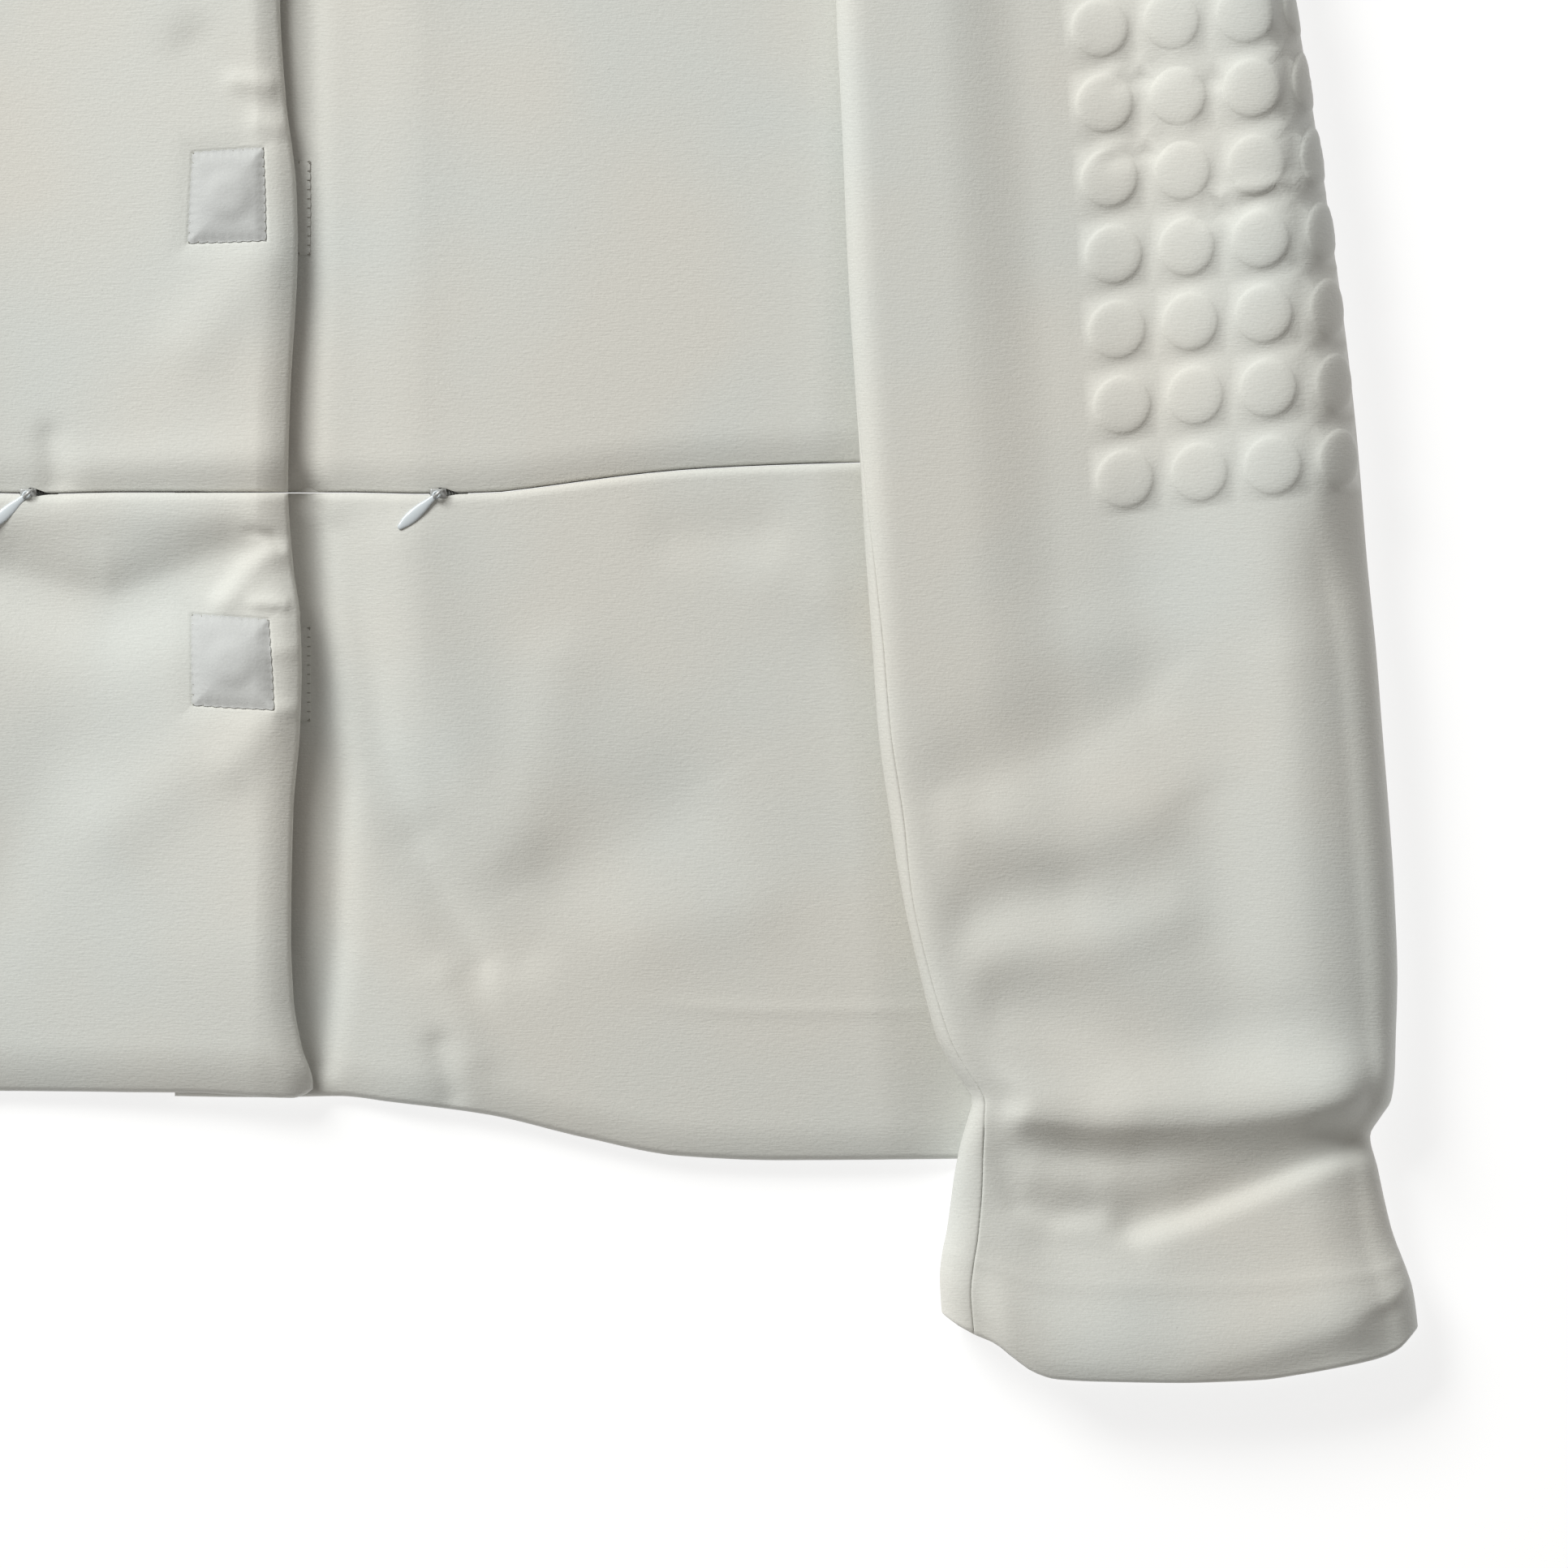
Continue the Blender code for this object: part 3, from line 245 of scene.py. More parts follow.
# %% Places of the patches
SNAP_PATCHES = {   # corners in x and y: low left, low right, high right, high left
    "upper": ((-15.0, 242.5), (11.2, 243.3), (10.2, 274.4), (-13.4, 272.8)),
    "middle": ((-15.0, 85.5), (11.2, 86.3), (10.2, 117.4), (-13.4, 115.8)),
    "lower": ((-13.4, -71.0), (14.0, -72.6), (12.0, -42.4), (-13.8, -40.6)),
}
UNDER_PATCH_X = 13.5
PATCH_SIZE = (24.5, 31.5)
PATCH_SINK = 0.6       # the stitches pull the cloth down by this under a patch
PATCH_DISH = 0.6       # and by this more softly around it
STITCH_PITCH = 3.1


def corner_blend(corners, a, b):
    """A place inside four corners, for a and b from 0 to 1."""
    low_left, low_right, high_right, high_left = (np.array(corner) for corner in corners)
    a = np.asarray(a)[..., None]
    b = np.asarray(b)[..., None]
    low = low_left + (low_right - low_left) * a
    high = high_left + (high_right - high_left) * a
    return low + (high - low) * b


def from_patch(x, y, corners):
    """Distance outside the patch's four sides, negative inside."""
    away = np.full_like(x + y, -1e6)
    for (x1, y1), (x2, y2) in zip(corners, corners[1:] + corners[:1]):
        length = math.hypot(x2 - x1, y2 - y1)
        away = np.maximum(away, ((y2 - y1) * (x - x1) - (x2 - x1) * (y - y1)) / length)
    return away


def pressed(x, y):
    """How far the stitches of the snap patches pull the right front down."""
    total = 0.0 * x
    for corners in SNAP_PATCHES.values():
        away = from_patch(x, y, corners)
        sink = PATCH_SINK * (1.0 - ease((away + 0.1) / 1.1))
        total = np.maximum(total, sink + PATCH_DISH * np.exp(-((np.maximum(away, 0.0) / 4.0) ** 2)))
    return total


print("patches", len(SNAP_PATCHES))

# %% [markdown]
# ## The shape of the fronts
# The outer face of a front is a height over the table. It rises from the side seam, is full over the body,
# drops into the waist seam and the hem, and on the right front climbs over the underlap before it rolls down
# to its edge. Turned edges are double cloth with a round nose, so the face also falls in over a quarter circle.

# %% Height of a front
def nose(distance, radius):
    """How far a round edge has fallen in at this distance from its outermost line."""
    t = np.clip(1.0 - distance / radius, 0.0, 1.0)
    return radius * (1.0 - np.sqrt(np.maximum(1.0 - t * t, 0.0)))


def rolled(distance, drop, width):
    """How far a soft roll has come down at this distance from an edge."""
    return drop * np.clip(1.0 - distance / width, 0.0, 1.0) ** 2.0


def front_top(out, y, right, part):
    """Height of the outer face of a front, without its rounded edges."""
    side = ease((outer_edge(y) - out) / 35.0)
    edge_places = (ARMPIT_Y, ARMPIT_Y + 8.1, SHOULDER_TIP[1] - 31.0, SHOULDER_TIP[1])
    at_edge = np.interp(y, edge_places, (SIDE_TOP, ARMHOLE_TOP, ARMHOLE_TOP, SIDE_TOP))
    at_edge = (at_edge - SIDE_TOP) / (BODY_TOP - SIDE_TOP)
    shoulder = ease((follow(NECK_AND_SHOULDER, "front", out, "out") - y) / 30.0)
    shoulder = np.where(out > 60.0, 1.0 - (1.0 - shoulder) * ease((out - 60.0) / 18.0), 1.0)
    full = np.minimum(at_edge + (1.0 - at_edge) * side, shoulder)
    z = SIDE_TOP + (BODY_TOP - SIDE_TOP) * full
    from_waist = np.abs(y - follow(WAIST, "y", out, "out"))
    z = z - rolled(from_waist, *WAIST_DROP[part]) * full
    from_hem = y - follow(HEM, "right" if right else "left", out, "out")
    z = z - rolled(from_hem, *HEM_DROP[right]) * full
    z = z + (folds(RIGHT_FOLDS, -out, y) if right else folds(LEFT_FOLDS, out, y)) * full
    hem_allowance = 0.3 * np.exp(-(((from_hem - 51.0) / 2.5) ** 2)) * ease((out - 130.0) / 40.0)
    z = z + (0.0 if right else hem_allowance * full)
    from_edge = out - edge_out(y, right)
    if right:
        ridge = RIDGE_TOP - BODY_TOP + follow(EDGE_LIFT, "lift", y)
        z = z + ridge * np.clip(1.0 - (out + 8.0) / 88.0, 0.0, 1.0) ** 1.5
        z = z - rolled(from_edge, EDGE_ROLL, EDGE_ROLL_WIDTH)
        return z - pressed(-out, y)
    return z - (BODY_TOP - UNDERLAP_TOP) * (1.0 - ease((out - 32.0) / 34.0))


def seam_opening(out, right):
    """How far the waist seam gapes just right of a zip's slider, as seen from above."""
    past_slider = (-out if right else out) - (-SLIDER_X if right else SLIDER_X)
    return SEAM_GAPE * ease((past_slider + 1.5) / 2.0) * (1.0 - ease((past_slider - 0.5) / 7.5))


def front_places(part, right, u, v):
    """Out and up places of a front panel's grid, blended from its four edges."""
    if part == "bodice":
        low = float(follow(WAIST, "y", -UNDERLAP, "out")) + SEAM / 2.0
        high = float(follow(NECK_AND_SHOULDER, "front", -UNDERLAP, "out"))
        side_low, side_high = WAIST_AT_SIDE[1] + SEAM / 2.0, SHOULDER_TIP[1]
        low_end, high_end = WAIST_AT_SIDE[0], SHOULDER_TIP[0]
    else:
        low = float(follow(HEM, "right" if right else "left", -UNDERLAP, "out"))
        high = float(follow(WAIST, "y", -UNDERLAP, "out")) - SEAM / 2.0
        side_low, side_high = HEM_AT_SIDE[1], WAIST_AT_SIDE[1] - SEAM / 2.0
        low_end, high_end = HEM_AT_SIDE[0], WAIST_AT_SIDE[0]
    start_low = float(edge_out(low, right))
    start_high = float(edge_out(high, right))
    low_out = start_low + (low_end - start_low) * u
    high_out = start_high + (high_end - start_high) * u
    if part == "bodice":
        low_y = follow(WAIST, "y", low_out, "out") + SEAM / 2.0 + 0.7 * seam_opening(low_out, right)
        high_y = follow(NECK_AND_SHOULDER, "front", high_out, "out")
    else:
        low_y = follow(HEM, "right" if right else "left", low_out, "out")
        high_y = follow(WAIST, "y", high_out, "out") - SEAM / 2.0 - 0.3 * seam_opening(high_out, right)
    bottom = np.stack((low_out, low_y), axis=-1)[None]
    top = np.stack((high_out, high_y), axis=-1)[None]
    inner_y = bottom[0, 0, 1] + (top[0, 0, 1] - bottom[0, 0, 1]) * v
    inner = np.stack((edge_out(inner_y, right), inner_y), axis=-1)[:, None]
    outer_y = side_low + (side_high - side_low) * v
    outer = np.stack((outer_edge(outer_y), outer_y), axis=-1)[:, None]
    a = u[None, :, None]
    b = v[:, None, None]
    corners = (1 - a) * ((1 - b) * bottom[:, :1] + b * top[:, :1]) + a * ((1 - b) * bottom[:, -1:] + b * top[:, -1:])
    places = (1 - b) * bottom + b * top + (1 - a) * inner + a * outer - corners
    return places[..., 0], places[..., 1]


# %% [markdown]
# ## From two faces to one shell
# A cloth piece is a grid of outer points and a grid of inner points. The quads of both grids and a narrow band
# round their rim close it. A Solidify modifier would do the same for an even wall, but here the wall grows to
# double cloth at turned edges, so the inner grid is worked out too.

# %% Closed cloth
def in_frame(points):
    """Points in millimetres from the waist seam, as metres in the frame."""
    return (np.asarray(points, dtype=float) + (0.0, WAIST_Y, 0.0)) * MM


def mirrored(points):
    """The same grid on the other side of the jacket, with its outer face still out."""
    return points[:, ::-1] * (-1.0, 1.0, 1.0)


def shell_mesh(name, shells):
    """One mesh of closed shells, each from a grid of outer points and a grid of inner ones."""
    corners = []
    faces = []
    for outer, inner in shells:
        rows, columns = outer.shape[:2]
        first = sum(len(block) for block in corners)
        index = first + np.arange(rows * columns).reshape(rows, columns)
        size = rows * columns
        a, b, c, d = index[:-1, :-1], index[:-1, 1:], index[1:, 1:], index[1:, :-1]
        quads = np.stack((a, b, c, d), axis=-1).reshape(-1, 4)
        rim = np.concatenate((index[0, :], index[1:, -1], index[-1, -2::-1], index[-2:0:-1, 0]))
        after = np.roll(rim, -1)
        band = np.stack((rim, rim + size, after + size, after), axis=-1)
        faces += [quads, quads[:, ::-1] + size, band]
        corners += [in_frame(outer).reshape(-1, 3), in_frame(inner).reshape(-1, 3)]
    mesh = bpy.data.meshes.new(name)
    mesh.from_pydata(np.concatenate(corners).tolist(), [], np.concatenate(faces).tolist())
    mesh.shade_smooth()
    return mesh


def add_piece(name, mesh, finish, body="root"):
    """Put a piece into the scene with its finish, on its body."""
    mesh.materials.append(finish)
    piece = bpy.data.objects.new(name, mesh)
    bpy.context.scene.collection.objects.link(piece)
    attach(piece, body)
    return piece


def cut_area(points):
    """Area of a grid of points in square metres, as the cloth was cut."""
    across = points[:-1, 1:] - points[:-1, :-1]
    up = points[1:, :-1] - points[:-1, :-1]
    return float(np.linalg.norm(np.cross(across, up), axis=-1).sum()) * MM * MM


# %% [markdown]
# ## The knit
# The cloth is a bonded jersey: very fine cross ribs, a matt face with a little sheen, and a colour that drifts
# between a cooler and a warmer ivory. Colour and ribs come from procedural nodes in the piece's own
# coordinates, which keep their scale on every panel and need no picture. Tiny dark specks are the lint that
# such a pale cloth picks up.

# %% Materials
def add_node(tree, kind, **values):
    """A shader node with some of its sockets or settings filled in."""
    node = tree.nodes.new(kind)
    for key, value in values.items():
        if key in node.inputs:
            node.inputs[key].default_value = value
        else:
            setattr(node, key, value)
    return node


RIB_LENGTH = 6.0       # a rib is this many times as long as it is wide


def knit(name, cool, warm, rib=0.0006, rib_depth=0.8):
    """Bonded knit with fine cross ribs, drifting colour and a few specks."""
    made = bpy.data.materials.new(name)
    made.use_nodes = True
    tree = made.node_tree
    shader = tree.nodes["Principled BSDF"]
    shader.inputs["Roughness"].default_value = 0.78
    shader.inputs["Specular IOR Level"].default_value = 0.35
    shader.inputs["Sheen Weight"].default_value = 0.18
    shader.inputs["Sheen Roughness"].default_value = 0.45
    place = tree.nodes.new("ShaderNodeTexCoord").outputs["Object"]
    drift = add_node(tree, "ShaderNodeTexNoise", Scale=11.0, Detail=2.0, Roughness=0.45)
    tree.links.new(place, drift.inputs["Vector"])
    mix = add_node(tree, "ShaderNodeMix", data_type="RGBA")
    spread = add_node(tree, "ShaderNodeMapRange")
    spread.inputs["From Min"].default_value = 0.35
    spread.inputs["From Max"].default_value = 0.65
    tree.links.new(drift.outputs["Fac"], spread.inputs["Value"])
    tree.links.new(spread.outputs["Result"], mix.inputs["Factor"])
    mix.inputs["A"].default_value = (*cool, 1.0)
    mix.inputs["B"].default_value = (*warm, 1.0)
    lint = add_node(tree, "ShaderNodeTexVoronoi", Scale=95.0)
    tree.links.new(place, lint.inputs["Vector"])
    speck = add_node(tree, "ShaderNodeMapRange")
    speck.inputs["From Min"].default_value = 0.012
    speck.inputs["From Max"].default_value = 0.03
    speck.inputs["To Min"].default_value = 0.82
    tree.links.new(lint.outputs["Distance"], speck.inputs["Value"])
    darker = add_node(tree, "ShaderNodeMix", data_type="RGBA", blend_type="MULTIPLY")
    darker.inputs["Factor"].default_value = 1.0
    tree.links.new(mix.outputs["Result"], darker.inputs["A"])
    tree.links.new(speck.outputs["Result"], darker.inputs["B"])
    grain = add_node(tree, "ShaderNodeTexNoise", Scale=1500.0, Detail=1.0)
    tree.links.new(place, grain.inputs["Vector"])
    mottle = add_node(tree, "ShaderNodeMapRange")
    mottle.inputs["To Min"].default_value = 0.93
    mottle.inputs["To Max"].default_value = 1.07
    tree.links.new(grain.outputs["Fac"], mottle.inputs["Value"])
    grained = add_node(tree, "ShaderNodeMix", data_type="RGBA", blend_type="MULTIPLY")
    grained.inputs["Factor"].default_value = 1.0
    tree.links.new(darker.outputs["Result"], grained.inputs["A"])
    tree.links.new(mottle.outputs["Result"], grained.inputs["B"])
    tree.links.new(grained.outputs["Result"], shader.inputs["Base Color"])
    squeezed = add_node(tree, "ShaderNodeMapping")
    squeezed.inputs["Scale"].default_value = (1.0, RIB_LENGTH, 1.0)
    tree.links.new(place, squeezed.inputs["Vector"])
    ribs = add_node(tree, "ShaderNodeTexNoise", Scale=1.0 / (rib * RIB_LENGTH), Detail=1.0)
    tree.links.new(squeezed.outputs["Vector"], ribs.inputs["Vector"])
    fibre = add_node(tree, "ShaderNodeTexNoise", Scale=900.0, Detail=3.0, Roughness=0.6)
    tree.links.new(place, fibre.inputs["Vector"])
    relief = add_node(tree, "ShaderNodeMath", operation="MULTIPLY_ADD")
    relief.inputs[1].default_value = rib_depth
    tree.links.new(ribs.outputs["Fac"], relief.inputs[0])
    tree.links.new(fibre.outputs["Fac"], relief.inputs[2])
    bump = add_node(tree, "ShaderNodeBump", Strength=0.3, Distance=0.0004)
    tree.links.new(relief.outputs["Value"], bump.inputs["Height"])
    tree.links.new(bump.outputs["Normal"], shader.inputs["Normal"])
    return made


IVORY_COOL = (0.700, 0.718, 0.695)
IVORY_WARM = (0.730, 0.716, 0.672)
ivory_knit = knit("ivory_knit", IVORY_COOL, IVORY_WARM)
patch_knit = knit("patch_knit", (0.590, 0.605, 0.610), (0.60, 0.605, 0.60), rib_depth=0.3)
print("materials", ivory_knit.name, patch_knit.name)

# %% [markdown]
# ## Fronts
# Four panels: a bodice and a peplum on each side. Near a turned edge (front edge and hem) the wall is double
# cloth with a round nose. At a seam the face only dips a little, where the stitches pull it in.

# %% Build the fronts
FRONT_STEP = {"bodice": 2.0, "peplum": 1.3}                  # between rows; columns are COLUMN_STEP apart
COLUMN_STEP = 2.0
PATCH_COLUMNS = ((2.6, 11.0), (30.0, 39.0))                 # from the front edge, where patch sides are
ZIP_COLUMNS = ((80.0, 99.0),)                               # and where the seam opens beside a zip's slider
FINE_ROWS = {"bodice": ((83.5, 88.5), (113.5, 118.5), (240.5, 245.5), (270.5, 275.5)),
             "peplum": ((129.0, 135.5), (159.0, 165.0))}       # from the panel's lower edge
PANEL_LENGTH = {"bodice": 324.5, "peplum": 203.5}             # along the front edge
NOSE = {True: 1.6, False: 1.9}     # radius of the turned edge, right and left
SEAM_LIP = 1.1
TURNED_WIDTH = 26.0


def front_shell(part, right):
    """Outer and inner points of a front panel, in left-hand coordinates."""
    u = stations(250.0, COLUMN_STEP, ROUNDED, PLAIN, (PATCH_COLUMNS if right else ()) + ZIP_COLUMNS)
    last = PLAIN if part == "bodice" else ROUNDED
    v = stations(PANEL_LENGTH[part], FRONT_STEP[part], ROUNDED, last, FINE_ROWS[part] if right else ())
    out, y = front_places(part, right, u, v)
    z = front_top(out, y, right, part)
    radius = NOSE[right]
    from_edge = out - edge_out(y, right)
    from_waist = np.abs(y - follow(WAIST, "y", out, "out")) - SEAM / 2.0
    turned = from_edge
    if part == "peplum":
        from_hem = y - follow(HEM, "right" if right else "left", out, "out")
        turned = np.minimum(from_edge, from_hem)
    wall = CLOTH + (2.0 * radius - CLOTH) * (1.0 - ease((turned - TURNED_WIDTH) / 5.0))
    fall = nose(turned, radius)
    lip = nose(from_waist, SEAM_LIP)
    outer = np.stack((out, y, z - fall - lip), axis=-1)
    inner = np.stack((out, y, z - wall + fall), axis=-1)
    return outer, inner


for part in ("bodice", "peplum"):
    for side in ("left", "right"):
        faces = front_shell(part, side == "right")
        if side == "right":
            faces = tuple(mirrored(face) for face in faces)
        node = f"front_{part}_{side}"
        piece = add_piece("knit_" + node, shell_mesh(node, [faces]), ivory_knit)
        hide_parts(node)
        print(node, "cut area", round(cut_area(faces[0]), 4), "m2")

# %% [markdown]
# ## Back panels
# The back lies flat under everything, so it is one plate for the bodice and one for the peplum, with edges
# rounded by a Bevel modifier. Its outline uses the same tables as the fronts, so both meet at the side seams.

# %% Build the back
def back_outline(part, hem_side):
    """Half outline of a back panel, from the middle and back to it."""
    if part == "bodice":
        waist = [(x, float(follow(WAIST, "y", x, "out")) + SEAM / 2.0) for x in np.linspace(0.0, 232.0, 24)]
        side = [(float(follow(SIDE, "out", y)), y) for y in np.linspace(30.0, 190.0, 8)]
        armhole = list(zip(ARMHOLE["back"][1:], ARMHOLE["y"][1:]))
        neck = [(x, float(follow(NECK_AND_SHOULDER, "back", x, "out"))) for x in np.linspace(78.0, 0.0, 12)]
        return waist + side + armhole + neck
    hem = [(x, float(follow(HEM, hem_side, x, "out")) + 3.0) for x in np.linspace(0.0, 254.0, 24)]
    side = [(float(follow(SIDE, "out", y)), y) for y in np.linspace(-200.0, -10.0, 8)]
    waist = [(x, float(follow(WAIST, "y", x, "out")) - SEAM / 2.0) for x in np.linspace(232.0, 0.0, 24)]
    return hem + side + waist


for part in ("bodice", "peplum"):
    outline = back_outline(part, "left") + [(-x, y) for x, y in reversed(back_outline(part, "right")) if x > 0.01]
    node = f"back_{part}"
    bm = bmesh.new()
    base = bm.faces.new([bm.verts.new(in_frame((x, y, 0.0))) for x, y in outline])
    grown = bmesh.ops.extrude_face_region(bm, geom=[base])
    bmesh.ops.translate(bm, vec=(0.0, 0.0, CLOTH * MM), verts=[v for v in grown["geom"] if isinstance(v, bmesh.types.BMVert)])
    bmesh.ops.recalc_face_normals(bm, faces=bm.faces)
    mesh = bpy.data.meshes.new(node)
    bm.to_mesh(mesh)
    bm.free()
    piece = add_piece("knit_" + node, mesh, ivory_knit)
    rounded = piece.modifiers.new("rounded", "BEVEL")
    rounded.width = 0.5 * MM
    rounded.segments = 2
    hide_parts(node)
    print(node, "corners", len(outline))

# %% [markdown]
# ## The sleeve's form
# A sleeve lies flat as a soft tube: its underside rests on the table, or on the body where it crosses it, and
# its top has a valley along the middle and a ridge towards the outer edge. The form is a cross-section that
# changes slowly along the sleeve. Measuring distances round the section keeps the raised dots as round on the
# curved edge as they are on the top.

# %% Sizes of the sleeve
SLEEVE = table(
    "v x_in x_out roll_in roll_out z_in z_valley z_ridge",
    (-301, 240, 401.8, 10, 10, 23, 24, 25), (-285, 239.3, 400, 10, 10, 23.5, 25, 26),
    (-270, 240, 397, 10, 10, 22.5, 24.5, 25.5), (-255, 241.5, 393.5, 10, 10, 21.5, 23.5, 25),
    (-240, 243, 390.5, 10, 9, 20.5, 22.5, 25), (-228, 244.5, 388, 9, 8, 20.5, 22.5, 26),
    (-217, 247, 385.5, 8, 7, 21.5, 23.5, 27.5), (-211, 248.8, 388.8, 8, 6.5, 22.5, 24.5, 29),
    (-205, 250.4, 392.5, 8, 7, 23, 25.5, 30), (-196, 245, 393.6, 8, 8, 23.5, 26, 30.5),
    (-184, 238.5, 394, 9, 10, 24, 26, 31), (-165, 233.2, 394.6, 9, 12, 24, 25, 32),
    (-135, 226.5, 393.5, 9, 13, 25, 24, 33), (-107, 222.2, 391.6, 9, 13, 25, 24, 33.5),
    (-80, 218.5, 389.4, 9, 13, 26, 23, 34), (-52, 216.5, 387.2, 9, 14, 26, 23, 34.5),
    (-25, 214.5, 384.5, 9, 16, 26, 22, 35), (20.1, 211.8, 380.7, 9, 15, 26, 22, 35),
    (71, 208.5, 374.8, 9, 13, 26, 21, 35), (121.8, 206.3, 367.2, 9, 11, 26, 21, 35),
    (172.7, 204.2, 358.5, 9, 9, 26, 21, 35), (198.1, 204.4, 352, 14, 9, 26, 22, 35),
    (223.6, 191.4, 345, 22, 10, 26, 23, 33), (249, 184.4, 335, 22, 11, 25, 23, 32),
    (275, 182.4, 320, 22, 12, 24, 23, 30), (300, 184.4, 299, 22, 13, 23, 22, 27),
    (325, 190.4, 268, 20, 13, 20, 19, 22), (343, 197.4, 235, 12, 10, 14, 13, 14), (351, 200.4, 212, 5, 4, 9, 9, 9))
CUFF_EDGE = table(
    "across y",
    (0, -278), (0.03, -281.3), (0.07, -284.4), (0.115, -288), (0.157, -293.4), (0.2, -298), (0.24, -299.8),
    (0.33, -300.6), (0.5, -301), (0.665, -300), (0.75, -298), (0.83, -295.6), (0.92, -292.3), (0.96, -289.3),
    (1, -283))
FRONT_SEAM = table(
    "v along",
    (-301, 17.7), (-261, 17.2), (-240, 14.7), (-217, 11.6), (-202, 9.2), (-181, 8.8), (-162, 7.6), (-143, 7.4),
    (-107, 9), (-52, 8.5), (-28, 7.5), (-5, 5.5), (20, 2.5), (46, 0), (71, -1), (190, -1))
BACK_SEAM = table(
    "v x",
    (-301, 372), (0, 352), (100, 340), (172.7, 328), (198.1, 300), (223.6, 262), (249, 215), (275, 193.4))
DOT_LINE = table("v x", (-301, 346.5), (6, 327.3), (160, 317.9), (198.1, 312), (249, 296))
SLEEVE_FOLDS = (
    (-4.0, 10, 5, (304, -247), (312, -244.5), (322, -241.5), (334, -237), (347, -232), (361, -226), (375, -220),
     (388, -215)),
    (5.4, 14, 8, (250, -207), (290, -212), (330, -211), (362, -207), (376, -204)),
    (3.6, 20, 9, (262, -293), (320, -295), (378, -285)),
    (-1.9, 7, 5, (254, -215), (258, -229), (266, -239), (278, -243.5), (290, -242)),
    (-1.7, 12, 10, (290, -222), (302, -228), (305, -238)),
    (0.9, 7, 7, (272, -229), (281, -231)),
    (-1.1, 8, 7, (276, -253), (304, -256)),
    (-1.8, 4, 4, (368, -215), (384, -220)),
    (-1.9, 17, 12, (253.8, -94), (286.9, -75), (305.3, -66)),
    (1.7, 16, 12, (247.6, -113), (281, -115), (309, -106)),
    (-2.0, 11, 10, (237.8, -147), (258.7, -138), (280.8, -131)),
    (1.5, 10, 11, (246, -163), (276, -153), (317, -141)),
    (-1.7, 14, 12, (262, -172), (300, -180), (345, -182)),
    (-1.2, 12, 12, (331, -105), (333, -140), (338, -175)),
    (1.0, 12, 12, (356, -60), (358, -120), (358, -165)),
    (1.2, 2.4, 2.0, (299, 146), (312, 146), (325, 148.5)),
    (1.2, 2.4, 2.0, (295.6, 120.5), (310, 120.5), (325, 123)),
    (1.1, 2.4, 2.0, (326.7, 97.6), (340, 100.5), (358, 101.8)),
    (-0.9, 3, 3, (300, 141), (314, 142.5)),
    (-0.9, 3, 3, (297, 115.5), (314, 117.5)),
    (-1.0, 3, 3, (328, 92.5), (344, 95.5)),
    (-1.2, 3, 3, (330, 139), (333, 138)))
EDGE_SINK = 5.0          # the forearm's top slopes down this much before it folds under
OUTLINE_STEP = 0.5
SOFTENED_OVER = 15       # points
ROW_LEAN = 0.095
LEAN_FROM = -230.0
LEAN_TO = 255.0
DOTS_TO_EDGE = 58.0
CUFF_LENGTH = 66.0
LAST_SEAMED = 274.9
ROLL_POINTS = 13
TOP_POINTS = 121
UNDER_POINTS = 61


def lift(x, y):
    """Height of the sleeve's underside: flat on the table beside the body, raised where it lies over it."""
    side = follow(SIDE, "out", y)
    over = SIDE_TOP + (BODY_TOP - SIDE_TOP) * ease((side - x) / 35.0) + OVER_BODY
    beside = 1.0 - ease((x - side) / 13.0)
    below_hem = 1.0 - ease((HEM_AT_SIDE[1] - 1.5 - y) / 34.0)
    return over * beside * below_hem


def row_lean(v):
    """How much the sleeve's cross rows climb outwards: level at the cuff and at the sleeve head."""
    return ROW_LEAN * ease((v - LEAN_FROM) / 80.0) * (1.0 - ease((v - LEAN_TO) / 20.0))


def softened(x, z, is_open):
    """The outline with its corners softened: points at an even step, each an average over its neighbours."""
    s = np.concatenate(([0.0], np.cumsum(np.hypot(np.diff(x), np.diff(z)))))
    even = np.linspace(0.0, s[-1], int(s[-1] / OUTLINE_STEP))
    kernel = np.hanning(SOFTENED_OVER)
    kernel = kernel / kernel.sum()
    made = []
    for values in (x, z):
        values = np.interp(even, s, values)
        if is_open:
            soft = np.convolve(np.pad(values, SOFTENED_OVER // 2, mode="edge"), kernel, mode="valid")
            near_end = ease(np.minimum(even, s[-1] - even) / (SOFTENED_OVER * OUTLINE_STEP / 2.0))
            soft = values + (soft - values) * near_end
        else:
            ring = np.concatenate((values[-SOFTENED_OVER // 2:-1], values, values[1:SOFTENED_OVER // 2 + 1]))
            soft = np.convolve(ring, kernel, mode="valid")
            soft[-1] = soft[0]
        made.append(soft)
    return made


